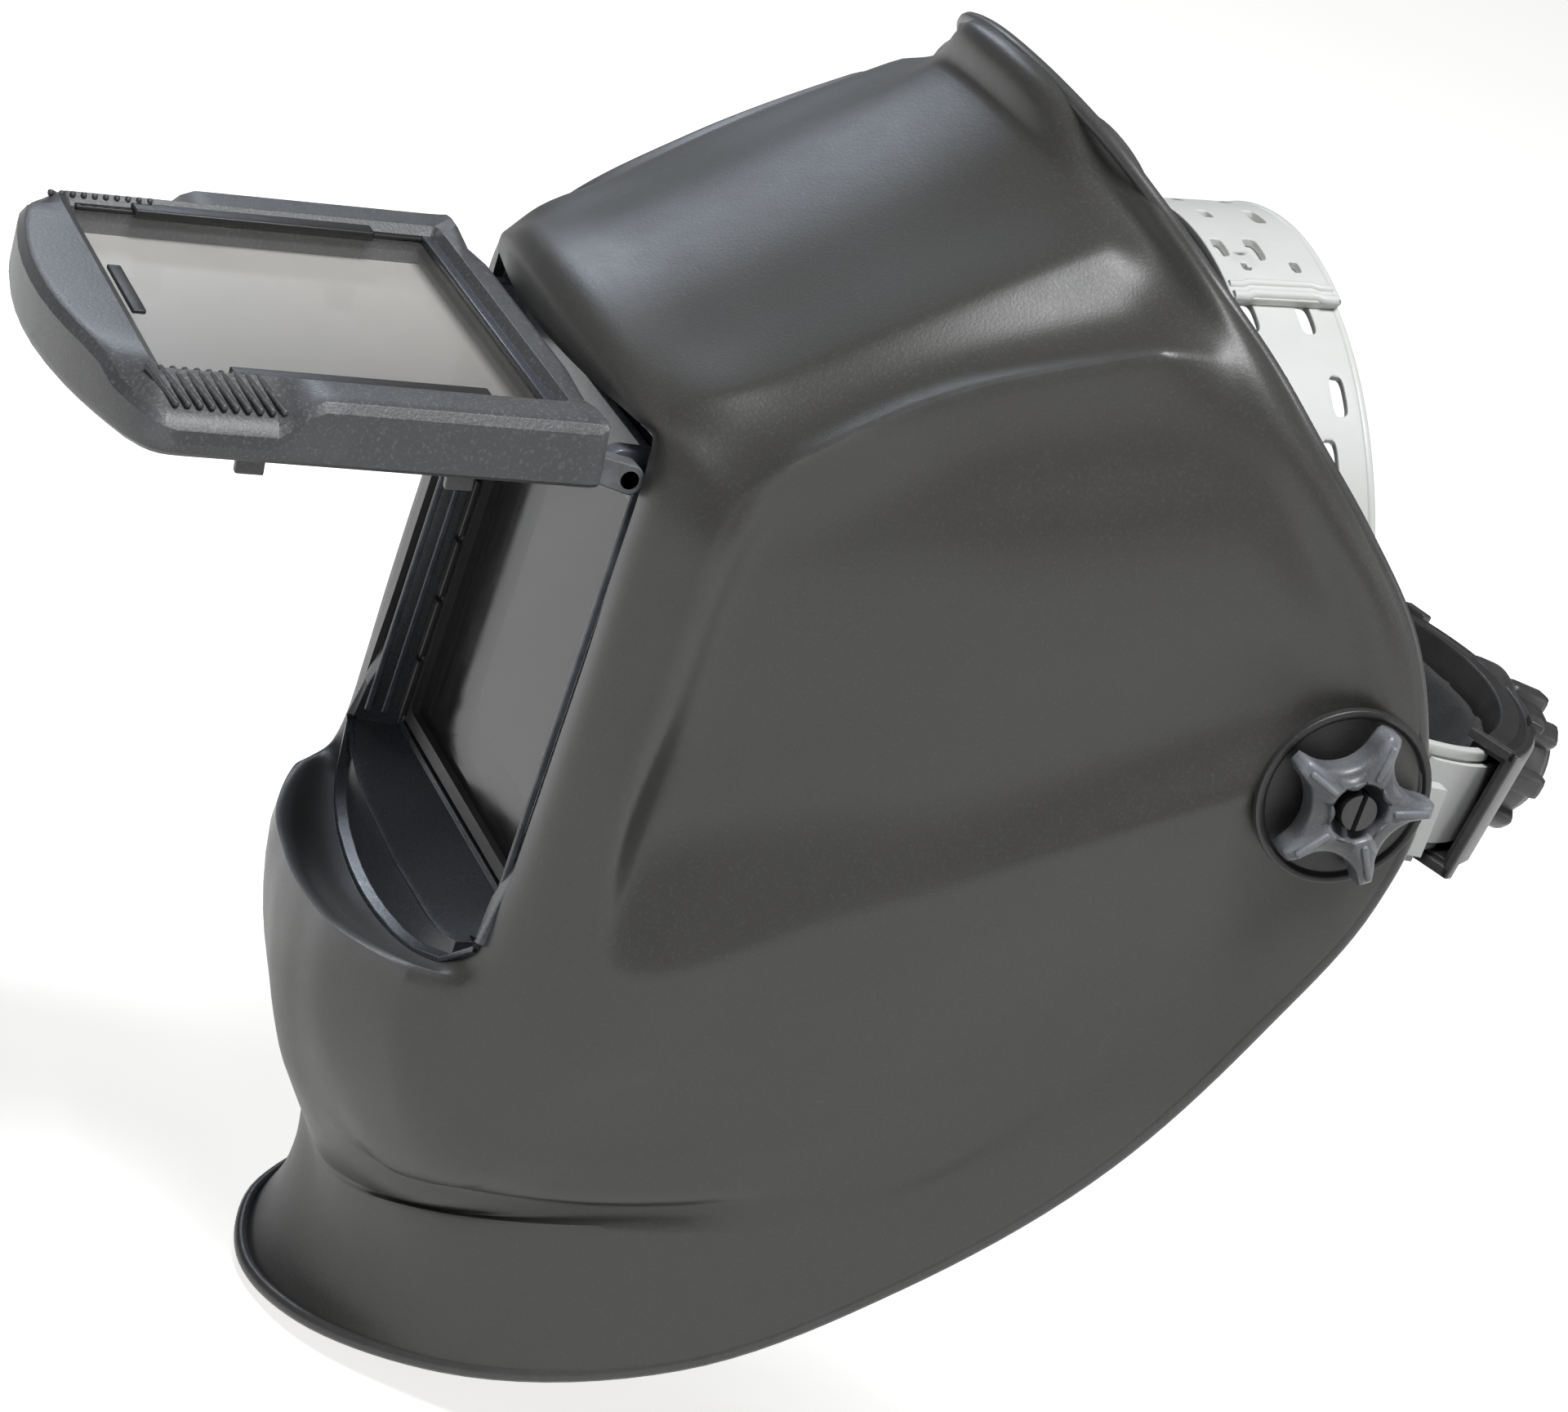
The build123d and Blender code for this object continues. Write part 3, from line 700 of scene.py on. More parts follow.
# --------------------------------------------------------------- repeat trees
class Repeats:
    """Geometry-node makers for what repeats or follows a path."""

    @staticmethod
    def row(name: str, base: bpy.types.Mesh, start: Point, step: Point, count: int,
            material: bpy.types.Material) -> bpy.types.Object:
        """Repeats one small shape along a line.

        Args:
            name: Name of the piece.
            base: Mesh of one shape, about the origin, in metres.
            start: Place of the first one, in metres.
            step: Move to the next one, in metres.
            count: How many there are.
            material: Finish that is set.

        Returns:
            A plain mesh object.
        """
        kit = GrowthKit(name + ".tree", {"Count": count, "Start": start, "Step": step}, material)
        line = kit.add("GeometryNodeMeshLine", {"mode": "OFFSET"},
                       {"Count": kit.size("Count"), "Start Location": kit.size("Start"),
                        "Offset": kit.size("Step")})
        placed = kit.add("GeometryNodeInstanceOnPoints", None,
                         {"Points": line.outputs[0], "Instance": kit.out(kit.start, 0)})
        return kit.grow(placed.outputs[0], base, name)

    @staticmethod
    def circle(name: str, base: bpy.types.Mesh, count: int, plane: Matrix,
               material: bpy.types.Material) -> bpy.types.Object:
        """Repeats one shape round the local Z axis of a plane.

        Args:
            name: Name of the piece.
            base: Mesh of one shape in the plane's own coordinates, in metres.
            count: How many there are.
            plane: Local to world matrix.
            material: Finish that is set.

        Returns:
            A plain mesh object.
        """
        kit = GrowthKit(name + ".tree", {"Count": count, "Turn": math.tau / count}, material)
        dots = kit.add("GeometryNodePoints", None, {"Count": kit.size("Count")})
        index = kit.out(kit.add("GeometryNodeInputIndex"), 0)
        spin = kit.add("ShaderNodeCombineXYZ", None, {"Z": index * kit.size("Turn")})
        placed = kit.add("GeometryNodeInstanceOnPoints", None,
                         {"Points": dots.outputs[0], "Instance": kit.out(kit.start, 0),
                          "Rotation": spin.outputs[0]})
        grown = kit.grow(placed.outputs[0], base, name)
        grown.data.transform(plane)
        return grown

    @staticmethod
    def tube(name: str, path: Sequence[Sequence[float]], radius: float, closed: bool,
             material: bpy.types.Material, flat: float = 1.0, sides: int = 10) -> bpy.types.Object:
        """Runs a round bead along a path of points in metres.

        Args:
            name: Name of the piece.
            path: Points of the path, in metres.
            radius: Bead radius in metres.
            closed: Whether the path closes on itself.
            material: Finish that is set.
            flat: Height share of the bead's section.
            sides: Sides of its section.

        Returns:
            A plain mesh object.
        """
        count = len(path)
        links = [(k, k + 1) for k in range(count - 1)] + ([(count - 1, 0)] if closed else [])
        base = bpy.data.meshes.new(name + ".path")
        base.from_pydata([tuple(p) for p in path], links, [])
        kit = GrowthKit(name + ".tree", {"Radius": radius, "Flat": flat, "Sides": sides}, material)
        curve = kit.add("GeometryNodeMeshToCurve", None, {0: kit.out(kit.start, 0)})
        section = kit.add("GeometryNodeCurvePrimitiveCircle", None,
                          {"Resolution": kit.size("Sides"), "Radius": kit.size("Radius")})
        squeeze = kit.add("ShaderNodeCombineXYZ", None, {"X": 1.0, "Y": kit.size("Flat"), "Z": 1.0})
        shaped = kit.add("GeometryNodeTransform", None, {0: section.outputs[0], "Scale": squeeze.outputs[0]})
        swept = kit.add("GeometryNodeCurveToMesh", None,
                        {0: curve.outputs[0], 1: shaped.outputs[0], "Fill Caps": True})
        return kit.grow(swept.outputs[0], base, name)

    @staticmethod
    def stitches(name: str, path: Sequence[Sequence[float]], pitch: float, length: float, radius: float,
                 material: bpy.types.Material) -> bpy.types.Object:
        """Lays thread stitches along a path.

        Args:
            name: Name of the piece.
            path: Points of the seam, in metres.
            pitch: Distance from stitch to stitch.
            length: Length of one stitch.
            radius: Thread radius.
            material: Finish that is set.

        Returns:
            A plain mesh object.
        """
        base = bpy.data.meshes.new(name + ".path")
        base.from_pydata([tuple(p) for p in path], [(k, k + 1) for k in range(len(path) - 1)], [])
        sizes = {"Pitch": pitch, "Length": length, "Radius": radius}
        kit = GrowthKit(name + ".tree", sizes, material)
        curve = kit.add("GeometryNodeMeshToCurve", None, {0: kit.out(kit.start, 0)})
        dots = kit.add("GeometryNodeCurveToPoints", {"mode": "LENGTH"},
                       {0: curve.outputs[0], "Length": kit.size("Pitch")})
        thread = kit.add("GeometryNodeMeshUVSphere", None, {"Segments": 6, "Rings": 5, "Radius": 1.0})
        size = kit.add("ShaderNodeCombineXYZ", None,
                       {"X": kit.size("Radius"), "Y": kit.size("Radius"), "Z": kit.size("Length") * 0.5})
        placed = kit.add("GeometryNodeInstanceOnPoints", None,
                         {"Points": dots.outputs["Points"], "Instance": thread.outputs[0],
                          "Rotation": dots.outputs["Rotation"], "Scale": size.outputs[0]})
        return kit.grow(placed.outputs[0], base, name)


def rounded_block(name: str, size: Point, round_by: float) -> bpy.types.Mesh:
    """Makes a small block with rounded edges about the origin, sizes in millimetres."""
    work = bmesh.new()
    bmesh.ops.create_cube(work, size=1.0)
    bmesh.ops.scale(work, vec=tuple(c * MM for c in size), verts=work.verts)
    bmesh.ops.bevel(work, geom=work.edges, offset=round_by * MM, segments=2, profile=0.6, affect="EDGES")
    mesh = bpy.data.meshes.new(name)
    work.to_mesh(mesh)
    work.free()
    mesh.shade_smooth()
    return mesh


# ---------------------------------------------------------------------- shell
Row = Tuple[Point, Point, Point, Point, Point, Point, Point, Point, Point, Point]

SHELL_LINES: Tuple[Row, ...] = (
    ((0, -157.5, 27.6), (0, -158, 34), (0, -154.5, 39.5), (0, -144, 45), (0, -131, 54),
     (0, -107, 73), (0, -77, 100.5), (0, -77.5, 107), (0, -76, 110.5), (0, -72.5, 112.5)),
    ((20, -156.6, 27.6), (20, -157, 33.5), (20.5, -153.8, 38.5), (21, -143.5, 44), (21, -130.5, 53),
     (22, -106.5, 72), (25, -75.5, 99), (26, -75, 105.5), (25, -73.5, 109), (23, -70.3, 110.8)),
    ((40, -154, 27.6), (41, -154, 32), (42, -150.8, 36), (43, -142, 40.5), (43, -129, 49.5),
     (44, -105, 68.5), (46.3, -70.7, 93.9), (44.7, -66.5, 98.4), (43.7, -65, 101.9), (45, -65.3, 106.3)),
    ((55, -151, 27.5), (56.5, -150.5, 29.5), (59, -148, 31), (61.5, -141, 34.5), (63, -128, 43),
     (64.5, -104, 61.5), (63.9, -67, 87.7), (65.4, -59.3, 92.6), (64.9, -57.3, 95.6), (63, -56, 97.7)),
    ((59.5, -148.6, 26.5), (63, -148, 27.5), (66.5, -144.5, 28.5), (70, -138, 30.5), (74.2, -127.6, 39),
     (76, -103.5, 57.5), (80, -63, 79.5), (82, -55, 86.5), (82.5, -51, 88.8), (81, -48.5, 89.5)),
    ((60.5, -148, 21), (66, -147.5, 22.5), (74, -141.5, 23.3), (79, -134, 24), (82.7, -126.8, 33.6),
     (84.8, -102.7, 53.4), (94, -62, 76.5), (96, -51, 80.5), (95.5, -43.5, 80.5), (93, -37, 79)),
    ((60.5, -147.5, 12), (67, -147.3, 13), (76, -142.3, 13.5), (82.5, -135.8, 14.5), (84, -128, 21),
     (91.5, -94, 45), (102, -52, 65), (104.5, -43, 68.5), (104.7, -35, 69), (103.5, -27, 68)),
    ((60.5, -147.5, 0), (67, -147.3, 0.5), (76, -142.5, 1), (83, -136, 2), (84.5, -129.5, 4),
     (96, -86, 30), (108, -39, 50), (110.5, -30, 53.5), (111.3, -22, 54.5), (111.3, -13, 54)),
    ((60.5, -147, -22), (67, -147, -22), (76, -142.5, -22), (83, -136, -21.5), (84.2, -130, -21),
     (99, -78, 6), (112, -24, 34), (114.5, -13, 36.5), (115.5, -6, 37), (116, 3, 36)),
    ((60.5, -147, -44), (67, -147, -45), (76, -143, -47), (82.3, -136.5, -50), (83, -130.5, -52),
     (98, -80, -26), (114, -16, 15), (116, -3, 18), (117, 4, 19), (117.8, 12.5, 18)),
    ((60.5, -147, -60), (67, -147, -62), (75, -143, -66), (80.5, -136, -74), (81, -128, -84),
     (93.5, -90, -58), (114, -16, -3), (116.3, 1, -3), (117.3, 9, -3), (118.5, 19, -4)),
    ((60.5, -147.3, -78), (66, -147, -80), (72, -144, -87), (76, -137, -101), (76.5, -123, -110),
     (92, -88, -78), (112, -21, -25), (115, -3, -22), (116.7, 7, -22), (118, 17, -23)),
    ((58, -148, -93.5), (60, -148.7, -97), (61.5, -150.5, -101), (64, -145, -119), (67, -135.5, -128),
     (85, -90, -112), (105, -25, -60), (109.5, -8, -54), (112.5, 0, -53), (114.5, 5.5, -56)),
    ((48, -150.5, -101.8), (50, -153.5, -103), (52, -160.5, -102), (52, -155, -128), (54, -141.5, -149),
     (74, -106, -142), (97, -42, -105), (102.5, -30, -95), (106, -21, -93.5), (108, -13.5, -97)),
    ((37, -152.5, -105.5), (38, -157.5, -106.5), (40, -166.5, -103.7), (40, -161, -130), (44, -146, -155),
     (61.5, -121.5, -147.5), (86, -71, -133), (90, -60, -132), (93, -52, -137), (95, -44, -140)),
    ((26, -153.8, -107.5), (26.5, -160, -108.5), (27, -170.5, -105.5), (28, -165.8, -130), (31, -154, -152),
     (42, -141, -163), (70, -108, -151.5), (72, -98, -162), (75, -88, -171), (78, -79, -176)),
    ((14, -154.6, -108.6), (14, -161.5, -109.8), (14, -171.5, -107), (14, -168, -130), (16, -158.5, -152),
     (24, -145.5, -169), (42, -138, -165.5), (46, -130, -180), (50, -124, -190), (53, -121.6, -198)),
    ((7, -154.9, -108.9), (7, -162, -110.3), (7, -171.9, -107.4), (7, -168.8, -130), (8, -160.3, -152),
     (12, -147.8, -170.5), (22, -144.5, -172.5), (24, -142, -186), (26, -143, -197), (27, -147, -204.5)),
    ((0, -155, -109), (0, -162, -110.5), (0, -172, -107.5), (0, -169, -130), (0, -161, -152),
     (0, -148.5, -171), (0, -145.5, -176), (0, -145.5, -188), (0, -149, -199), (0, -153.5, -207)),
)


def hermite(points: Sequence[Vector], breaks: Sequence[float], counts: Sequence[int],
            closed: bool) -> List[Vector]:
    """Runs a smooth curve through points, with its bend sharpened at the breaks.

    Args:
        points: Points that the curve passes through.
        breaks: Sharpness at each point, from 0 to 1.
        counts: Steps in each span.
        closed: Whether the last point joins the first.

    Returns:
        Points along the curve; a closed one doesn't repeat its first.
    """
    n = len(points)
    spans = n if closed else n - 1
    gap = [max((points[(k + 1) % n] - points[k]).length, 1e-6) for k in range(spans)]
    slope = [(points[(k + 1) % n] - points[k]) / gap[k] for k in range(spans)]
    made: List[Vector] = []
    for k in range(spans):
        ends = []
        for at, before, after in ((k, k - 1, k), ((k + 1) % n if closed else k + 1, k, k + 1)):
            if closed:
                before, after = before % n, after % n
            if before < 0 or after >= spans:
                ends.append(slope[k])
                continue
            share = gap[before] / (gap[before] + gap[after])
            even = slope[before].lerp(slope[after], share)
            ends.append(even.lerp(slope[k], breaks[at % n]))
        p, q, m0, m1 = points[k], points[(k + 1) % n], ends[0] * gap[k], ends[1] * gap[k]
        for i in range(counts[k]):
            t = i / counts[k]
            t2, t3 = t * t, t * t * t
            made.append(p * (2 * t3 - 3 * t2 + 1) + m0 * (t3 - 2 * t2 + t)
                        + q * (3 * t2 - 2 * t3) + m1 * (t3 - t2))
    if not closed:
        made.append(points[-1].copy())
    return made


@dataclass
class HelmetShell:
    """The moulded helmet shell: hood, side panels, chin, flange and rolled rim.

    Attributes:
        lines: Feature points of the left half, from the window edge back to the rim.
        wall: Wall thickness in millimetres.
        row_steps: Steps between two feature points of a line.
        line_steps: Steps from line to line.
        creases: Sharp bends that run along a line, by (line, first row, last row, sharpness).
        rib_creases: Sharp bends that run across lines, by (row, first line, last line, sharpness).
        relief: Steps of the facets, by (first line, last line, first row, last row, height).
        ease: Rounds of smoothing that give the bends their radius.
        chin_ease: Further rounds where the chin runs into the flange.
        chin_lines: First fine line of that part.
        chin_rows: Fine rows of that part.
        rim_radius: Radius of the rolled rim in millimetres.
    """

    lines: Tuple[Row, ...] = SHELL_LINES
    wall: float = 2.5
    row_steps: Tuple[int, ...] = (2, 4, 4, 5, 14, 16, 5, 4, 4)
    line_steps: int = 9
    creases: Tuple[Tuple[int, float, float, float], ...] = (
        (3, 1, 6.4, 0.8), (5, 1, 6.4, 1.0), (10, 3.6, 6.4, 0.9), (11, 3.6, 6.4, 0.9), (13, 0, 3, 0.5),
    )
    rib_creases: Tuple[Tuple[int, int, int, float], ...] = (
        (0, 0, 18, 1.0), (1, 0, 18, 0.8), (2, 0, 5, 0.3), (2, 12, 18, 0.7),
        (6, 0, 11, 0.9), (6, 12, 18, 0.3), (7, 0, 11, 0.6),
        (4, 11, 14, 0.4), (5, 14, 18, 0.3), (3, 5, 11, 0.4), (4, 5, 11, 0.4),
    )
    relief: Tuple[Tuple[int, int, int, int, float], ...] = (
        (3, 3, 3, 6, 2.2), (4, 4, 4, 6, -1.2), (5, 5, 3, 6, 2.6), (6, 6, 4, 6, -2.4), (6, 9, 3, 3, 1.8),
        (7, 9, 4, 4, -3.0), (9, 9, 4, 6, -2.6), (10, 10, 4, 6, 3.0), (11, 11, 4, 5, 1.6),
        (3, 11, 7, 7, -1.6), (3, 11, 8, 8, 0.9),
    )
    ease: int = 2
    chin_ease: int = 40
    chin_lines: int = 112
    chin_rows: Tuple[int, int] = (19, 42)
    rim_radius: float = 1.7
    piece: Optional[bpy.types.Object] = None
    rim: List[Vector] = field(default_factory=list)

    def _raised(self) -> List[List[Vector]]:
        """Returns the feature points with the facets' relief, moved square to the surface."""
        made = [[Vector(p) for p in line] for line in self.lines]
        for first, last, low, high, step in self.relief:
            for s in range(first, last + 1):
                for r in range(low, high + 1):
                    along = Vector(self.lines[s][r + 1]) - Vector(self.lines[s][r - 1])
                    across = Vector(self.lines[s + 1][r]) - Vector(self.lines[s - 1][r])
                    made[s][r] += along.cross(across).normalized() * -step
        return made

    def _grid(self) -> List[List[Vector]]:
        """Returns the outer surface as a closed ring of fine lines, in millimetres."""
        last = len(self.lines) - 1
        fine: List[List[Vector]] = []
        for s, line in enumerate(self._raised()):
            breaks = [max([v for r, a, b, v in self.rib_creases if r == row and a <= s <= b], default=0.0)
                      for row in range(len(line))]
            fine.append(hermite(line, breaks, self.row_steps, False))
        places = [row + i / n for row, n in enumerate(self.row_steps) for i in range(n)]
        places.append(float(len(self.row_steps)))
        count = 2 * last
        columns: List[List[Vector]] = []
        for at, place in enumerate(places):
            left = [fine[s][at] for s in range(last + 1)]
            ring = left + [Vector((-p.x, p.y, p.z)) for p in left[-2:0:-1]]
            breaks = []
            for s in range(count):
                own = s if s <= last else count - s
                found = [v * max(0.0, 1 - max(a - place, place - b, 0.0) / 0.8)
                         for line, a, b, v in self.creases if line == own]
                breaks.append(max(found, default=0.0))
            columns.append(hermite(ring, breaks, [self.line_steps] * count, True))
        grid = [[columns[r][c] for r in range(len(places))] for c in range(len(columns[0]))]
        for _ in range(self.ease):
            grid = self._eased(grid, range(len(grid)), range(1, len(places) - 1))
        chin, fold = self.chin_lines, self.chin_rows
        for _ in range(self.chin_ease):
            grid = self._eased(grid, range(chin, len(grid) - chin + 1), range(*fold))
        return grid

    @staticmethod
    def _eased(grid: List[List[Vector]], lines: range, rows: range) -> List[List[Vector]]:
        """Returns the grid after one round of smoothing of the given lines and rows."""
        made = [list(line) for line in grid]
        for c in lines:
            for r in rows:
                around = grid[c][r - 1] + grid[c][r + 1] + grid[c - 1][r] + grid[(c + 1) % len(grid)][r]
                made[c][r] = grid[c][r].lerp(around / 4, 0.5)
        return made

    def build(self) -> bpy.types.Object:
        """Builds the shell wall through its feature points.

        Returns:
            The wall as one object.
        """
        grid = self._grid()
        self.rim = [line[-1] for line in grid]
        points, faces = loft(grid, close_ring=False, close_path=True)
        mesh = mesh_from("shell_wall", points, faces)
        clean(mesh)
        score = sum((p.center - Vector((0.0, -0.05, -0.04))).dot(p.normal) for p in mesh.polygons)
        if score < 0:
            mesh.flip_normals()
        self.piece = add_object("shell_wall", mesh)
        wall = self.piece.modifiers.new("wall", "SOLIDIFY")
        wall.thickness = self.wall * MM
        wall.offset = -1.0
        wall.use_even_offset = False
        wall.use_quality_normals = True
        bake_modifiers(self.piece)
        self.piece.data.shade_smooth()
        self.piece.data.set_sharp_from_angle(angle=math.radians(50))
        return self.piece

    def rim_path(self) -> List[Vector]:
        """Returns the rim's line, a little inside the outer face, in metres."""
        middle = sum(self.rim, Vector()) / len(self.rim)
        path = []
        for p in self.rim:
            inward = Vector((middle.x - p.x, 0.0, 0.35 * (middle.z - p.z)))
            path.append((p + inward.normalized() * (self.rim_radius * 0.75)) * MM)
        return path

    def dress(self, finishes: Finishes) -> None:
        """Dresses the wall and rolls the rim bead on it."""
        if self.piece is None:
            raise RuntimeError("build the shell first")
        dress(self.piece, finishes.shell, Body.SHELL, "graphite_nylon")
        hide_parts("helmet_shell")
        rim = Repeats.tube("shell_rim_bead", self.rim_path(), self.rim_radius * MM, True, finishes.shell)
        dress(rim, finishes.shell, Body.SHELL, "graphite_nylon")


# --------------------------------------------------------------- window insert
@dataclass
class WindowInsert:
    """The bluish insert in the window opening, with its ledges, rails and clips.

    Attributes:
        lip_bottom: (X, Z) points of the front lip's bowed bottom, from the side to the middle.
        side: Half width of the insert.
        top: Upper edge.
        lip_y: Front lip.
        plate_y: Face on which the clear plate lies.
        back_y: Rear face.
        per_side: Points along each side of a ring.
    """

    lip_bottom: Tuple[Tuple[float, float], ...] = (
        (58.6, -91.5), (45.0, -98.7), (30.0, -100.6), (0.0, -101.7))
    side: float = 60.0
    top: float = 27.0
    lip_y: float = -149.2
    plate_y: float = -138.2
    back_y: float = -124.2
    per_side: int = 12

    def _bowed(self, share: float) -> Tuple[float, float]:
        """Returns the (X, Z) of the bowed bottom at a share from -1 to 1."""
        x = abs(share) * self.lip_bottom[0][0]
        line = self.lip_bottom[::-1]
        for (xa, za), (xb, zb) in zip(line, line[1:]):
            if x <= xb + 1e-6:
                t = (x - xa) / (xb - xa)
                return math.copysign(x, share), za + (zb - za) * t
        return math.copysign(x, share), line[-1][1]

    def _ring(self, half: float, low: float, high: float, y: float, bow: float = 0.0,
              corner: float = 0.0) -> List[Point]:
        """Returns one ring of points round the window.

        Args:
            half: Half width.
            low: Bottom Z, of a straight bottom.
            high: Top Z.
            y: Place along Y.
            bow: Share of the bowed bottom line.
            corner: Corner radius.

        Returns:
            Points, clockwise from the lower left as the wearer sees it.
        """
        n = self.per_side
        ring: List[Point] = []
        for k in range(n):
            t = -1 + 2 * k / n
            bx, bz = self._bowed(t)
            x = t * half
            ring.append((x + (bx - x) * bow, y, low + (bz - low) * bow))
        z0 = low + (self._bowed(1.0)[1] - low) * bow
        for k in range(n):
            ring.append((half, y, z0 + (high - z0) * k / n))
        for k in range(n):
            ring.append((half - 2 * half * k / n, y, high))
        for k in range(n):
            ring.append((-half, y, high + (z0 - high) * k / n))
        return [self._round(self._set_back(p), half, z0, high, corner) for p in ring]

    @staticmethod
    def _set_back(p: Point) -> Point:
        """Sets the front lip back where the pillars and the brow cover it."""
        share = max(0.0, min(1.0, (p[2] + 88.0) / 14.0))
        return (p[0], max(p[1], -149.6 + 4.2 * share), p[2])

    @staticmethod
    def _round(p: Point, half: float, low: float, high: float, r: float) -> Point:
        """Pulls a point that lies in a corner onto the corner's arc."""
        if r <= 0:
            return p
        cx, cz = half - r, (high - r if p[2] > (low + high) / 2 else low + r)
        dx, dz = abs(p[0]) - cx, (p[2] - cz) * (1 if p[2] > (low + high) / 2 else -1)
        if dx <= 0 or dz <= 0:
            return p
        reach = math.hypot(dx, dz)
        sign = 1 if p[2] > (low + high) / 2 else -1
        return (math.copysign(cx + dx * r / reach, p[0]), p[1], cz + sign * dz * r / reach)

    def build(self, finishes: Finishes) -> None:
        """Builds and dresses the insert, its rails, clips and plate edge."""
        rings = [
            self._ring(self.side, -97.0, self.top, self.back_y),
            self._ring(self.side, -97.0, self.top, self.lip_y + 8, 0.7),
            self._ring(self.side, -97.0, self.top, self.lip_y, 1.0),
            self._ring(self.side - 1.6, -96.0, self.top - 1.6, self.lip_y - 0.4, 0.96),
            self._ring(self.side - 4.4, -94.5, self.top - 3.0, self.lip_y + 1.2, 0.8),
            self._ring(55.2, -91.2, self.top - 3.4, -143.0, 0.32),
            self._ring(54.6, -90.2, self.top - 3.4, self.plate_y, 0.0),
            self._ring(52.6, -88.8, 17.2, self.plate_y, 0.0, 1.0),
            self._ring(52.6, -88.8, 17.2, self.plate_y + 1.6, 0.0, 1.0),
            self._ring(50.4, -86.6, 14.6, self.plate_y + 1.6, 0.0, 2.0),
            self._ring(50.0, -86.2, 14.2, -132.6, 0.0, 3.0),
            self._ring(46.9, -82.0, 10.0, -131.8, 0.0, 4.5),
            self._ring(46.4, -81.4, 9.4, self.back_y, 0.0, 5.0),
        ]
        points, faces = loft(rings, close_path=True)
        mesh = mesh_from("window_insert", points, faces)
        clean(mesh)
        insert = add_object("window_insert", mesh)
        bevel(insert, 0.35, 2, 25.0)
        dress(insert, finishes.insert, Body.SHELL, "insert_plastic")
        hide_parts("window_frame")
        self._shelves(finishes)
        self._rails(finishes)
        self._ears(finishes)
        dress_node("clear_window_plate", finishes.clear)
        dress_node("plate_seal", finishes.rubber)
        dress_node("window_retainer", finishes.black)

    def _shelves(self, finishes: Finishes) -> None:
        """Adds the shelves that close the insert against the shell's chin lip and brow."""
        edge = [line[0] for line in SHELL_LINES]
        chin = edge[12:] + [(-x, y, z) for x, y, z in edge[-2:11:-1]]
        brow = [(-x, y, z) for x, y, z in edge[4:0:-1]] + list(edge[:5])
        rings = []
        for x, y, z in chin:
            back_z = self._bowed(max(-1.0, min(1.0, x / self.lip_bottom[0][0])))[1]
            rings.append([(x, y - 1.2, z + 0.7), (x, y + 1.4, z + 1.5), (x * 0.985, -149.0, back_z + 0.3),
                          (x * 0.985, -147.0, back_z - 0.6), (x, y + 1.0, z - 1.2), (x, y - 1.2, z - 0.9)])
        self._shelf("chin_shelf", rings, finishes)
        rings = []
        for x, y, z in brow:
            rings.append([(x, y + 0.4, z - 0.2), (x, y + 0.4, z + 1.4), (x * 0.98, -143.8, self.top - 0.1),
                          (x * 0.98, -143.8, self.top - 1.6)])
        self._shelf("brow_shelf", rings, finishes)
        guard = rounded_block("guard", (104.0, 2.2, 12.0), 0.5)
        guard.transform(Matrix.Translation((0.0, -0.1405, 0.0118)))
        dress(add_object("glare_guard", guard), finishes.insert, Body.SHELL, "insert_plastic")

    @staticmethod
    def _shelf(name: str, rings: Sequence[Sequence[Point]], finishes: Finishes) -> None:
        """Lofts and dresses one shelf."""
        points, faces = loft(rings, cap_start=True, cap_end=True)
        mesh = mesh_from(name, points, faces)
        clean(mesh)
        shelf = add_object(name, mesh)
        bevel(shelf, 0.3)
        dress(shelf, finishes.insert, Body.SHELL, "insert_plastic")

    def _rails(self, finishes: Finishes) -> None:
        """Adds the upright rails on both side walls and the row of plate clips."""
        for side in Side:
            tag = side.name.lower()
            rail = rounded_block("rail", (1.0, 1.6, 104.0), 0.4)
            rails = Repeats.row(f"side_rails_{tag}", rail, (side.value * 0.0553, -0.1462, -0.0365),
                                (0.0, 0.0042, 0.0), 2, finishes.insert)
            dress(rails, finishes.insert, Body.SHELL, "insert_plastic")
            clip = rounded_block("clip", (2.6, 1.5, 14.0), 0.35)
            clips = Repeats.row(f"plate_clips_{tag}", clip, (side.value * 0.0529, -0.1387, -0.080),
                                (0.0, 0.0, 0.0153), 7, finishes.black)
            dress(clips, finishes.black, Body.SHELL, "insert_plastic")

    def _ears(self, finishes: Finishes) -> None:
        """Adds the fixed hinge ears beside the flip arms."""
        for side in Side:
            outline = [(-150.0 + 4.5 * math.cos(a), 16.0 + 4.5 * math.sin(a))
                       for a in [math.radians(100 + 160 * k / 12) for k in range(13)]]
            outline += [(-138.5, 9.5), (-138.5, 21.5)]
            rings = [[(side.value * x, y, z) for y, z in outline] for x in (49.0, 53.6)]
            points, faces = loft(rings, cap_start=True, cap_end=True)
            mesh = mesh_from("ear", points, faces)
            clean(mesh)
            ear = add_object(f"hinge_ear_{side.name.lower()}", mesh)
            bevel(ear, 0.5)
            dress(ear, finishes.insert, Body.SHELL, "insert_plastic")


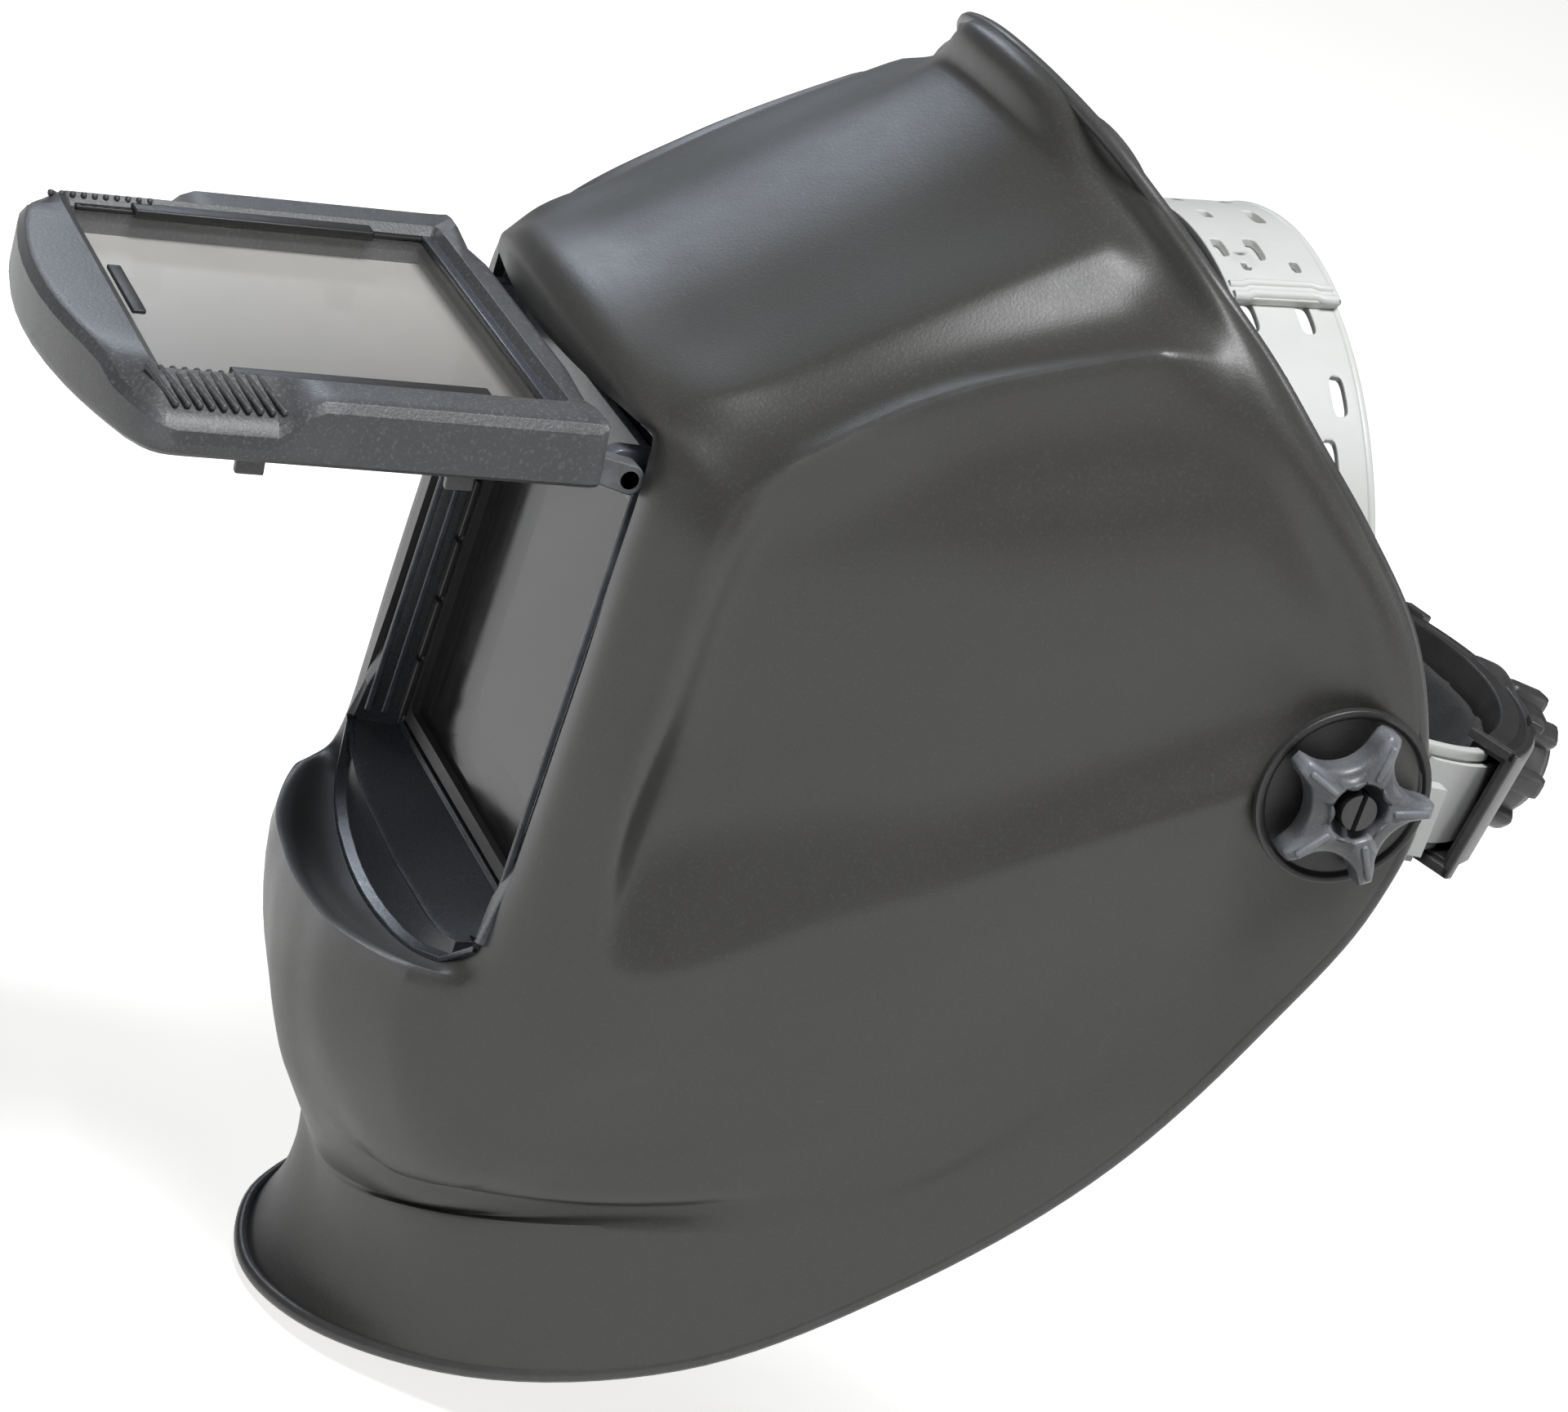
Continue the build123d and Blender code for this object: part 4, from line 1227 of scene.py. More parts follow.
# ------------------------------------------------------------------ flip front
@dataclass
class FlipFront:
    """The hinged lens frame, shown raised.

    Attributes:
        hinge: (Y, Z) of the hinge axis.
        droop: Fall of the open frame in degrees.
        thick: Full height of the frame.
        low_top: Height of the side rail at the grip ribs.
        outline: (X, reach, outer top height) round the right half, from the hinge side to the free edge.
    """

    hinge: Tuple[float, float] = (-150.0, 16.0)
    droop: float = 7.5
    thick: float = 14.3
    low_top: float = 8.2
    opening: Tuple[float, float, float] = (51.5, 16.6, 97.4)

    def world(self, x: float, reach: float, height: float) -> Point:
        """Returns a frame point, given across, outwards and up, in the row frame."""
        s = math.radians(self.droop)
        y = self.hinge[0] - reach * math.cos(s) - height * math.sin(s)
        z = self.hinge[1] - reach * math.sin(s) + height * math.cos(s)
        return (x, y, z)

    def _outline(self) -> List[Tuple[float, float]]:
        """Returns (X, reach) of the left half, from the hinge middle to the free middle."""
        points = [(x, 8.0) for x in (0.0, 16.0, 32.0, 48.0, 58.0, 64.0)]
        points += [(66.0, 8.7), (66.6, 10.6)]
        points += [(66.6, 10.6 + k * 3.0) for k in range(1, 29)]
        points += [(66.5, 97.4), (66.1, 99.6), (64.9, 101.6), (62.8, 103.4)]
        points += [(x, 104.2 + 11.4 * (1 - (x / 63.0) ** 2))
                   for x in (58.0, 52.0, 46.0, 38.0, 30.0, 20.0, 10.0, 0.0)]
        return points

    def _inner(self, x: float, reach: float) -> Tuple[float, float]:
        """Returns the lens opening's point that faces an outline point."""
        half, near, far = self.opening
        if reach < near:
            return (max(-half, min(half, x)), near)
        if reach > far or (abs(x) < 60 and reach > 90):
            return (max(-half, min(half, x)), far)
        return (math.copysign(half, x), max(near, min(far, reach)))

    def _drop(self, x: float, reach: float) -> float:
        """Returns how far the side rail's outer top falls at the grip ribs, by a smooth step."""
        if abs(x) < 52.0:
            share = max(0.0, (abs(x) - 44.0) / 8.0)
            return share * (self.thick - self.low_top) * 0.5
        t = max(0.0, min(1.0, (reach - 68.0) / 9.0))
        s = t * t * (3 - 2 * t)
        fade = max(0.0, min(1.0, (reach - 98.0) / 10.0))
        return s * (self.thick - self.low_top) * (1 - 0.5 * fade)

    def _bezel(self) -> bpy.types.Mesh:
        """Makes the frame's ring."""
        left = self._outline()
        full = left + [(-x, u) for x, u in left[-2:0:-1]]
        rings = []
        for x, u in full:
            ix, iu = self._inner(x, u)
            drop = self._drop(x, u)
            out = Vector((x - ix, u - iu))
            width = max(out.length, 0.1)
            d = out / width
            top = self.thick
            cut = 2.6 if abs(u - 8.0) > 1.0 else 1.4
            near = min(3.2, width * 0.3)
            section = [
                (ix, iu, 0.4), (ix, iu, 11.3), (ix + d.x * 0.6, iu + d.y * 0.6, 11.9),
                (ix + d.x * near, iu + d.y * near, top),
                (x - d.x * (cut + 0.5), u - d.y * (cut + 0.5), top - drop * 0.92),
                (x - d.x * cut * 0.55, u - d.y * cut * 0.55, top - drop - 0.6),
                (x, u, top - drop - cut),
                (x + d.x * 0.5, u + d.y * 0.5, 3.0) if u > 60 else (x, u, 3.0),
                (x, u, 1.0), (x - d.x * 1.0, u - d.y * 1.0, 0.0),
                (ix + d.x * 0.5, iu + d.y * 0.5, 0.0),
            ]
            rings.append([self.world(*p) for p in section])
        points, faces = loft(rings, close_path=True)
        mesh = mesh_from("flip_bezel", points, faces)
        clean(mesh)
        return mesh

    def _slab(self, name: str, box: Tuple[float, float, float, float, float, float],
              round_by: float = 0.4) -> bpy.types.Object:
        """Makes a rounded bar in the frame's coordinates: x, reach and height ranges."""
        x0, x1, u0, u1, w0, w1 = box
        mesh = rounded_block(name, (x1 - x0, u1 - u0, w1 - w0), round_by)
        shift = Matrix.Translation(Vector(((x0 + x1) / 2, (u0 + u1) / 2, (w0 + w1) / 2)) * MM)
        mesh.transform(shift)
        mesh.transform(self.matrix())
        return add_object(name, mesh)

    def matrix(self) -> Matrix:
        """Returns the frame's local to world matrix in metres."""
        o = Vector(self.world(0, 0, 0))
        a, b, c = (Vector(self.world(*axis)) - o for axis in ((1, 0, 0), (0, 1, 0), (0, 0, 1)))
        turn = Matrix((a, b, c)).transposed().to_4x4()
        return Matrix.Translation(o * MM) @ turn

    def build(self, finishes: Finishes) -> None:
        """Builds and dresses the frame, its grips, rails, hinge and lenses."""
        bezel = add_object("flip_bezel", self._bezel())
        bevel(bezel, 0.45, 2, 24.0)
        dress(bezel, finishes.trim, Body.FLIP, "graphite_nylon")
        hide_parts("flip_frame")
        self._grips(finishes)
        self._rails(finishes)
        self._hinge(finishes)
        self._latches(finishes)
        dress_node("cover_plate", finishes.cover)
        dress_node("filter_plate", finishes.filter)
        dress_node("lens_gasket", finishes.rubber)
        dress_node("lens_retainer", finishes.black)
        dress_node("hinge_pins", finishes.steel)

    def _grips(self, finishes: Finishes) -> None:
        """Adds the rows of slanting grip ribs on both free corners."""
        for side in Side:
            rib = rounded_block("rib", (12.0, 1.3, 1.5), 0.6)
            lean = math.atan2(self.thick - self.low_top - 1.0, 12.0)
            turn = Matrix.Rotation(side.value * lean, 4, "Y")
            turn = turn @ Matrix.Rotation(-side.value * math.radians(24), 4, "Z")
            rib.transform(turn)
            place = Vector((side.value * 58.8, 77.5, self.thick - 2.5)) * MM
            ribs = Repeats.row(f"grip_ribs_{side.name.lower()}", rib, tuple(place),
                               (-side.value * 0.00005, 0.00245, 0.0), 10, finishes.trim)
            ribs.data.transform(self.matrix())
            dress(ribs, finishes.trim, Body.FLIP, "graphite_nylon")

    def _rails(self, finishes: Finishes) -> None:
        """Adds the dark lens rails, the hinge-side bar and the latch steps."""
        for side in Side:
            tag, s = side.name.lower(), side.value
            low, high = sorted((s * 48.2, s * 53.6))
            rail = self._slab(f"lens_rail_{tag}", (low, high, 30.0, 84.0, 11.7, 13.5), 0.5)
            dress(rail, finishes.black, Body.FLIP, "black_nylon")
            low, high = sorted((s * 50.6, s * 53.2))
            strip = self._slab(f"lens_strip_{tag}", (low, high, 17.5, 96.5, 11.6, 12.4), 0.3)
            dress(strip, finishes.black, Body.FLIP, "black_nylon")
        bar = self._slab("lens_end_bar", (-51.0, 51.0, 16.0, 18.6, 11.6, 13.0), 0.4)
        dress(bar, finishes.insert, Body.FLIP, "graphite_nylon")
        step = self._slab("latch_step", (-12.0, 16.0, 94.2, 97.2, 11.6, 12.6), 0.4)
        dress(step, finishes.black, Body.FLIP, "black_nylon")

    def _hinge(self, finishes: Finishes) -> None:
        """Adds the two hinge arms with their barrels."""
        for side in Side:
            outline = [(3.3 * math.cos(a), 3.3 * math.sin(a))
                       for a in [math.radians(90 + 180 * k / 12) for k in range(13)]]
            outline += [(11.5, 0.0), (11.5, 5.6)]
            rings = [[self.world(side.value * x, u, w) for u, w in outline] for x in (54.1, 59.4)]
            points, faces = loft(rings, cap_start=True, cap_end=True)
            mesh = mesh_from("arm", points, faces)
            clean(mesh)
            arm = add_object(f"hinge_arm_{side.name.lower()}", mesh)
            bevel(arm, 0.4)
            dress(arm, finishes.trim, Body.FLIP, "graphite_nylon")

    def _latches(self, finishes: Finishes) -> None:
        """Adds the snap tabs under the frame."""
        for side in Side:
            for place, reach in (("front", 78.0), ("rear", 34.0)):
                low, high = sorted((side.value * 52.2, side.value * 54.6))
                tab = self._slab(f"snap_tab_{place}_{side.name.lower()}",
                                 (low, high, reach - 3, reach + 3, -7.0, 1.0), 0.5)
                dress(tab, finishes.trim, Body.FLIP, "graphite_nylon")


# ---------------------------------------------------------------- tilt pivots
@dataclass
class TiltPivot:
    """One side's tilt pivot: dish, star knob, stud, washer and arm.

    Attributes:
        side: Wearer's side.
        lobe_r: Reach of the lobes.
        waist_r: Radius between the lobes.
        scallop_r: Radius of the hollow between two lobes.
        inner_x: Rear face of the knob.
        outer_x: Front face of the knob.
        turn: How far the knob is turned back, in radians.
    """

    side: Side
    lobe_r: float = 17.8
    waist_r: float = 10.4
    scallop_r: float = 10.4
    inner_x: float = 119.75
    outer_x: float = 128.2
    turn: float = 0.12

    def _turned(self, name: str, profile: Sequence[Tuple[float, float]], steps: int = 64) -> bpy.types.Object:
        """Turns a closed (X, radius) profile about the tilt axis."""
        rings = []
        for k in range(steps):
            a = math.tau * k / steps
            rings.append([(self.side.value * x, r * math.cos(a), r * math.sin(a)) for x, r in profile])
        points, faces = loft(rings, close_path=True)
        mesh = mesh_from(name, points, faces)
        clean(mesh)
        return add_object(name, mesh)

    def _star(self, grow: float, x: float, steps: int = 120) -> List[Point]:
        """Returns the five-lobed outline at one depth, moved out by grow."""
        ring = []
        far = self.waist_r + self.scallop_r
        for k in range(steps):
            a = math.tau * k / steps
            off = (a - math.radians(126) + self.turn) % math.radians(72)
            off = min(off, math.radians(72) - off)
            reach = self.scallop_r ** 2 - (far * math.sin(off)) ** 2
            r = self.lobe_r
            if reach > 0:
                r = min(r, far * math.cos(off) - math.sqrt(reach))
            ring.append((self.side.value * x, (r + grow) * math.cos(a), (r + grow) * math.sin(a)))
        return ring

    def build(self, finishes: Finishes) -> None:
        """Builds and dresses the pivot's pieces."""
        tag = self.side.name.lower()
        dish = self._turned(f"dish_{tag}", [
            (117.52, 5.5), (117.52, 19.9), (119.3, 19.9), (119.55, 19.4), (119.4, 18.4), (118.3, 17.6),
            (118.15, 9.0), (118.5, 7.5), (118.5, 5.5)])
        bevel(dish, 0.25)
        dress(dish, finishes.black, Body.SHELL, "graphite_nylon")
        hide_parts(f"pivot_dish_{tag}")
        self._knob(finishes, tag)
        for node, finish in (("pivot_stud", finishes.black), ("friction_washer", finishes.black),
                             ("pivot_arm", finishes.strap)):
            dress_node(f"{node}_{tag}", finish)

    def _knob(self, finishes: Finishes, tag: str) -> None:
        """Builds the star knob with its bore, face ribs and rounded lobes."""
        bore = [(4.35, self.inner_x - 0.9), (4.35, 123.0), (6.3, 124.4),
                (6.5, self.outer_x - 1.4), (7.2, self.outer_x - 0.9)]
        count = 120

        def circle(r: float, x: float) -> List[Point]:
            """Returns one round ring of points across the knob's axis."""
            return [(self.side.value * x, r * math.cos(math.tau * k / count),
                     r * math.sin(math.tau * k / count)) for k in range(count)]
        rings = [circle(r, x) for r, x in bore]
        rings += [self._star(-4.6, self.outer_x - 0.9), self._star(-1.2, self.outer_x - 1.6),
                  self._star(-0.3, self.outer_x - 2.3), self._star(0.0, self.outer_x - 3.4),
                  self._star(0.05, self.inner_x + 1.2), self._star(-0.8, self.inner_x),
                  self._star(-3.0, self.inner_x + 0.1), circle(8.0, self.inner_x + 0.1),
                  circle(7.6, self.inner_x - 0.9)]
        points, faces = loft(rings, close_path=True)
        mesh = mesh_from("knob", points, faces)
        clean(mesh)
        knob = add_object(f"knob_star_{tag}", mesh)
        body = Body.KNOB_LEFT if self.side is Side.LEFT else Body.KNOB_RIGHT
        dress(knob, finishes.knob, body, "graphite_nylon")
        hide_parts(f"star_knob_{tag}")
        rib = rounded_block("face_rib", (8.4, 1.5, 1.5), 0.6)
        rib.transform(Matrix.Translation((0.0118, 0.0, 0.0)))
        s, c, n = self.side.value, math.sin(self.turn), math.cos(self.turn)
        face = s * (self.outer_x - 0.75) * MM
        axis = Matrix(((0, 0, s, face), (c, -s * n, 0, 0), (n, s * c, 0, 0), (0, 0, 0, 1)))
        ribs = Repeats.circle(f"knob_ribs_{tag}", rib, 5, axis, finishes.knob)
        dress(ribs, finishes.knob, body, "graphite_nylon")


# -------------------------------------------------------------------- headgear
@dataclass
class HeadgearFrame:
    """Measures of the head oval, shared by its straps.

    Attributes:
        tilt: Rearward fall of the band in degrees.
        height: Band's middle height on the tilt axis.
        centre: Place of the rear arc's centre along the band.
        radius: Outer radius of the rear arc.
        reach: Forward half length of the oval.
    """

    tilt: float = 9.6
    height: float = -6.0
    centre: float = 20.5
    radius: float = 75.5
    reach: float = 112.5

    def world(self, x: float, y: float, z: float) -> Point:
        """Returns a band point in the row frame."""
        t = math.radians(self.tilt)
        return (x, y * math.cos(t) + z * math.sin(t), self.height - y * math.sin(t) + z * math.cos(t))

    def on_oval(self, angle: float, inset: float, z: float) -> Point:
        """Returns a point of the oval; negative angles run round the front, 0 to 180 the rear arc."""
        a = math.radians(angle)
        r = self.radius - inset
        long = r if angle >= 0 and angle <= 180 else self.reach - self.radius + r
        return self.world(r * math.cos(a), self.centre + long * math.sin(a), z)

    def rear_matrix(self, reach: float) -> Matrix:
        """Returns the matrix of the plane square to the ratchet axis, in metres."""
        o = Vector(self.world(0, self.centre + reach, 0))
        x = Vector((1, 0, 0))
        z = (Vector(self.world(0, 1, 0)) - Vector(self.world(0, 0, 0))).normalized()
        y = z.cross(x)
        turn = Matrix((x, y, z)).transposed().to_4x4()
        return Matrix.Translation(o * MM) @ turn

    def strip(self, name: str, profile: Sequence[Tuple[float, float]], angles: Sequence[float],
              closed_ends: bool = True) -> bpy.types.Object:
        """Sweeps an (inset, height) section round the oval.

        Args:
            name: Name of the piece.
            profile: Closed section, each point an inset from the outer face and a height.
            angles: Places round the oval in degrees.
            closed_ends: Whether both ends are capped.

        Returns:
            The strip as a new object.
        """
        rings = [[self.on_oval(a, inset, z) for inset, z in profile] for a in angles]
        points, faces = loft(rings, cap_start=closed_ends, cap_end=closed_ends)
        mesh = mesh_from(name, points, faces)
        clean(mesh)
        return add_object(name, mesh)


def spread(start: float, end: float, count: int) -> List[float]:
    """Returns count + 1 even steps from start to end."""
    return [start + (end - start) * k / count for k in range(count + 1)]


@dataclass
class HeadBand:
    """The white head band with its beaded edges and stop ribs.

    Attributes:
        base: Shared measures of the head oval.
        half: Half height of the band.
        thick: Thickness.
    """

    base: HeadgearFrame
    half: float = 13.0
    thick: float = 2.5

    def build(self, finishes: Finishes) -> None:
        """Builds and dresses the band, its ridges and its screws."""
        h, t = self.half, self.thick
        profile = [(0.35, h), (0.0, h - 0.6), (0.0, h - 2.2), (0.5, h - 2.8), (0.5, h - 4.2), (0.2, h - 4.8),
                   (0.2, -h + 4.8), (0.5, -h + 4.2), (0.5, -h + 2.8), (0.0, -h + 2.2), (0.0, -h + 0.6), (0.35, -h),
                   (t - 0.35, -h), (t, -h + 0.5), (t, h - 0.5), (t - 0.35, h)]
        band = self.base.strip("head_band", profile, spread(-220.0, 40.0, 150))
        bevel(band, 0.2, 1, 50.0)
        dress(band, finishes.strap, Body.HEADGEAR, "white_plastic")
        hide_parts("headband")
        dress_node("arm_screws", finishes.steel)


@dataclass
class CrownStrap:
    """One half of the crown strap, slotted, with its ribbed end.

    Attributes:
        side: Wearer's side.
        inner: Inner radius in millimetres.
        thick: Thickness.
        half: Half width.
        end: Angle where the free end lies, from this side.
    """

    side: Side
    inner: float
    thick: float = 2.0
    half: float = 13.0
    end: float = 104.0
    leg: float = 22.0

    def world(self, along: float, across: float, lift: float) -> Point:
        """Bends a flat strap point onto the crown.

        Args:
            along: Distance from the leg's foot.
            across: Distance forwards of the middle line.
            lift: Height over the inner face.

        Returns:
            The place in the row frame.
        """
        lean = math.radians(10.0)
        r = self.inner + lift
        if along < self.leg:
            x, v = r, along - self.leg
        else:
            a = (along - self.leg) / self.inner
            x, v = r * math.cos(a), r * math.sin(a)
        up = (0.0, -math.sin(lean), math.cos(lean))
        fore = (0.0, -math.cos(lean), -math.sin(lean))
        place = [self.side.value * x, 6.0, 8.0]
        return (place[0], place[1] + v * up[1] + across * fore[1], place[2] + v * up[2] + across * fore[2])

    def length(self) -> float:
        """Returns the flat length of the strap."""
        return self.leg + self.inner * math.radians(self.end)

    def _flat(self, holes: Sequence[Tuple[float, float, float, float]]
              ) -> Tuple[List[Tuple[float, float]], List[Tuple[int, ...]]]:
        """Makes the flat slotted sheet.

        Args:
            holes: Each slot's middle, half length and half width.

        Returns:
            Flat points and faces.
        """
        cell = 1.5
        nx, ny = int(self.length() / cell), int(2 * self.half / cell) + 1
        sx, sy = self.length() / nx, 2 * self.half / ny
        points = [(i * sx, -self.half + j * sy) for i in range(nx + 1) for j in range(ny + 1)]
        taken = set()
        rims = []
        for cx, cy, hl, hw in holes:
            i0, i1 = int((cx - hl) / sx) - 1, int((cx + hl) / sx) + 2
            j0, j1 = int((cy - hw + self.half) / sy) - 1, int((cy + hw + self.half) / sy) + 2
            i0, j0, i1, j1 = max(i0, 1), max(j0, 1), min(i1, nx - 1), min(j1, ny - 1)
            taken |= {(i, j) for i in range(i0, i1) for j in range(j0, j1)}
            ring = [(i, j0) for i in range(i0, i1)] + [(i1, j) for j in range(j0, j1)]
            ring += [(i, j1) for i in range(i1, i0, -1)] + [(i0, j) for j in range(j1, j0, -1)]
            rims.append((ring, cx, cy, hl, hw))
        index = lambda i, j: i * (ny + 1) + j
        faces: List[Tuple[int, ...]] = [(index(i, j), index(i + 1, j), index(i + 1, j + 1), index(i, j + 1))
                                        for i in range(nx) for j in range(ny) if (i, j) not in taken]
        for ring, cx, cy, hl, hw in rims:
            start = len(points)
            for i, j in ring:
                dx, dy = points[index(i, j)][0] - cx, points[index(i, j)][1] - cy
                a = math.atan2(dy / hw, dx / hl)
                c, s = math.cos(a), math.sin(a)
                power = 0.55
                points.append((cx + hl * math.copysign(abs(c) ** power, c),
                               cy + hw * math.copysign(abs(s) ** power, s)))
            n = len(ring)
            faces += [(index(*ring[k]), index(*ring[(k + 1) % n]), start + (k + 1) % n, start + k)
                      for k in range(n)]
        return points, faces

    def build(self, finishes: Finishes,
              holes: Sequence[Tuple[float, float, float, float]]) -> bpy.types.Object:
        """Builds and dresses the strap.

        Args:
            finishes: The materials.
            holes: Slots in flat coordinates.

        Returns:
            The strap.
        """
        flat, faces = self._flat(holes)
        points = [self.world(a, b, 0.0) for a, b in flat]
        mesh = mesh_from("crown", points, faces)
        clean(mesh)
        work = bmesh.new()
        work.from_mesh(mesh)
        bmesh.ops.delete(work, geom=[v for v in work.verts if not v.link_faces], context="VERTS")
        work.to_mesh(mesh)
        work.free()
        outward = sum(Vector((p.center.x, 0.0, p.center.z)).dot(p.normal) for p in mesh.polygons)
        if outward < 0:
            mesh.flip_normals()
        tag = self.side.name.lower()
        strap = add_object(f"crown_band_{tag}", mesh)
        wall = strap.modifiers.new("wall", "SOLIDIFY")
        wall.thickness = self.thick * MM
        wall.offset = 1.0
        bake_modifiers(strap)
        bevel(strap, 0.35, 2, 50.0)
        dress(strap, finishes.strap, Body.HEADGEAR, "white_plastic")
        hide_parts(f"crown_strap_{tag}")
        return strap

    def edge_bead(self, finishes: Finishes, name: str, start: float, end: float, across: float,
                  lift: float, radius: float) -> None:
        """Adds a bead along the strap at one place across it."""
        path = [Vector(self.world(a, across, lift)) * MM for a in spread(start, end, 60)]
        bead = Repeats.tube(name, path, radius * MM, False, finishes.strap)
        dress(bead, finishes.strap, Body.HEADGEAR, "white_plastic")

    def cross_rib(self, finishes: Finishes, name: str, along: float, lift: float, radius: float) -> None:
        """Adds a raised rib across the strap."""
        path = [Vector(self.world(along + (0.8 if abs(b) > 9 else 0.0), b, lift)) * MM
                for b in spread(-self.half + 0.6, self.half - 0.6, 16)]
        rib = Repeats.tube(name, path, radius * MM, False, finishes.strap)
        dress(rib, finishes.strap, Body.HEADGEAR, "white_plastic")


@dataclass
class RatchetAdjuster:
    """The rear ratchet: looped housing, toothed tails, pinion, knob and cover pad.

    Attributes:
        base: Shared measures of the head oval.
        start: Angle of the housing's left end.
        half: Half height of the housing.
    """

    base: HeadgearFrame
    start: float = 38.0
    half: float = 15.2

    def build(self, finishes: Finishes) -> None:
        """Builds and dresses the rear pieces."""
        self._housing(finishes)
        self._knob(finishes)
        dress_node("rack_left", finishes.strap)
        dress_node("rack_right", finishes.strap)
        dress_node("ratchet_pinion", finishes.black)

    def _housing(self, finishes: Finishes) -> None:
        """Builds the hollow housing with stepped flanges and end frames."""
        h, r = self.half, self.base.radius
        out, inn = r - 81.2, r - 71.3
        profile = [(out, h - 1.6), (out + 0.8, h - 0.3), (out + 2.4, h), (out + 2.8, h - 0.7), (out + 4.6, h - 0.7),
                   (out + 5.0, h), (inn - 0.6, h), (inn, h - 0.8), (inn, -h + 0.8), (inn - 0.6, -h),
                   (out + 5.0, -h), (out + 4.6, -h + 0.7), (out + 2.8, -h + 0.7), (out + 2.4, -h),
                   (out + 0.8, -h + 0.3), (out, -h + 1.6)]
        hollow = [(r - 79.3, 12.7), (r - 72.8, 12.7), (r - 72.8, -12.7), (r - 79.3, -12.7)]
        angles = spread(self.start, 180.0 - self.start, 72)
        skin = [[self.base.on_oval(a, i, z * self._swell(a)) for i, z in profile] for a in angles]
        core = [[self.base.on_oval(a, i, z) for i, z in hollow] for a in angles]
        points, faces = loft(skin)
        start = len(points)
        more, inner = loft(core)
        points += more
        faces += [tuple(start + k for k in f[::-1]) for f in inner]
        for ring in (0, len(angles) - 1):
            a0, b0 = ring * len(profile), start + ring * len(hollow)
            faces += self._frame_faces(a0, b0)
        mesh = mesh_from("housing", points, faces)
        clean(mesh)
        housing = add_object("ratchet_cover", mesh)
        bevel(housing, 0.3, 2, 40.0)
        dress(housing, finishes.black, Body.HEADGEAR, "black_nylon")
        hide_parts("ratchet_housing")
        self._boss(finishes)
        self._end_frames(finishes)

    @staticmethod
    def _swell(angle: float) -> float:
        """Returns how much taller the housing is at one angle than at its ends."""
        share = max(0.0, math.cos(math.radians((angle - 90.0) * 2.1)))
        return 1.0 + 0.22 * share

    @staticmethod
    def _frame_faces(skin: int, core: int) -> List[Tuple[int, ...]]:
        """Returns the end face between the 16-point skin and the 4-point hollow."""
        s = [skin + k for k in range(16)]
        c = [core + k for k in range(4)]
        return [(s[15], s[0], c[0]), (s[0], s[1], s[2], c[0]), (s[2], s[3], s[4], c[0]), (s[4], s[5], c[1], c[0]),
                (s[5], s[6], s[7], c[1]), (s[7], s[8], c[2], c[1]), (s[8], s[9], s[10], c[2]),
                (s[10], s[11], c[3], c[2]), (s[11], s[12], s[13], c[3]), (s[13], s[14], s[15], c[3]),
                (s[15], c[0], c[3])]

    def _end_frames(self, finishes: Finishes) -> None:
        """Adds the thick clip frames round both open ends and the small clips on the top edge."""
        for side in Side:
            angle = self.start if side is Side.LEFT else 180.0 - self.start
            for tag, z0, z1, r0, r1 in (("top", 13.8, 16.3, 69.9, 82.6), ("low", -16.3, -13.8, 69.9, 82.6),
                                        ("out", -16.3, 16.3, 80.6, 82.8)):
                rings = []
                for t in (-1.6, 1.6):
                    d = math.degrees(t / 76.0)
                    rings.append([self.base.on_oval(angle + d, self.base.radius - r, z)
                                  for r, z in ((r0, z0), (r1, z0), (r1, z1), (r0, z1))])
                points, faces = loft(rings, cap_start=True, cap_end=True)
                mesh = mesh_from("clip", points, faces)
                clean(mesh)
                clip = add_object(f"end_clip_{tag}_{side.name.lower()}", mesh)
                bevel(clip, 0.5)
                dress(clip, finishes.black, Body.HEADGEAR, "black_nylon")
        for name, angle in (("top_catch_left", 66.0), ("top_catch_right", 114.0)):
            rings = []
            for d in (-2.6, 2.6):
                rings.append([self.base.on_oval(angle + d, self.base.radius - r, z)
                              for r, z in ((78.6, 16.2), (82.2, 16.2), (82.2, 18.6), (78.6, 18.6))])
            points, faces = loft(rings, cap_start=True, cap_end=True)
            mesh = mesh_from("catch", points, faces)
            clean(mesh)
            catch = add_object(name, mesh)
            bevel(catch, 0.5)
            dress(catch, finishes.black, Body.HEADGEAR, "black_nylon")

    def _boss(self, finishes: Finishes) -> None:
        """Adds the round boss behind the knob."""
        profile = [(4.2, 2.3), (4.2, 3.3), (17.5, 3.3), (19.4, 2.7), (20.0, 1.6), (20.0, -2.5), (18.0, -4.0)]
        rings = []
        for k in range(64):
            a = math.tau * k / 64
            rings.append([(r * math.cos(a), r * math.sin(a), z) for r, z in profile])
        points, faces = loft(rings, close_ring=False, close_path=True)
        mesh = mesh_from("boss", points, faces)
        mesh.transform(self.base.rear_matrix(79.0))
        clean(mesh)
        boss = add_object("ratchet_boss", mesh)
        dress(boss, finishes.black, Body.HEADGEAR, "black_nylon")

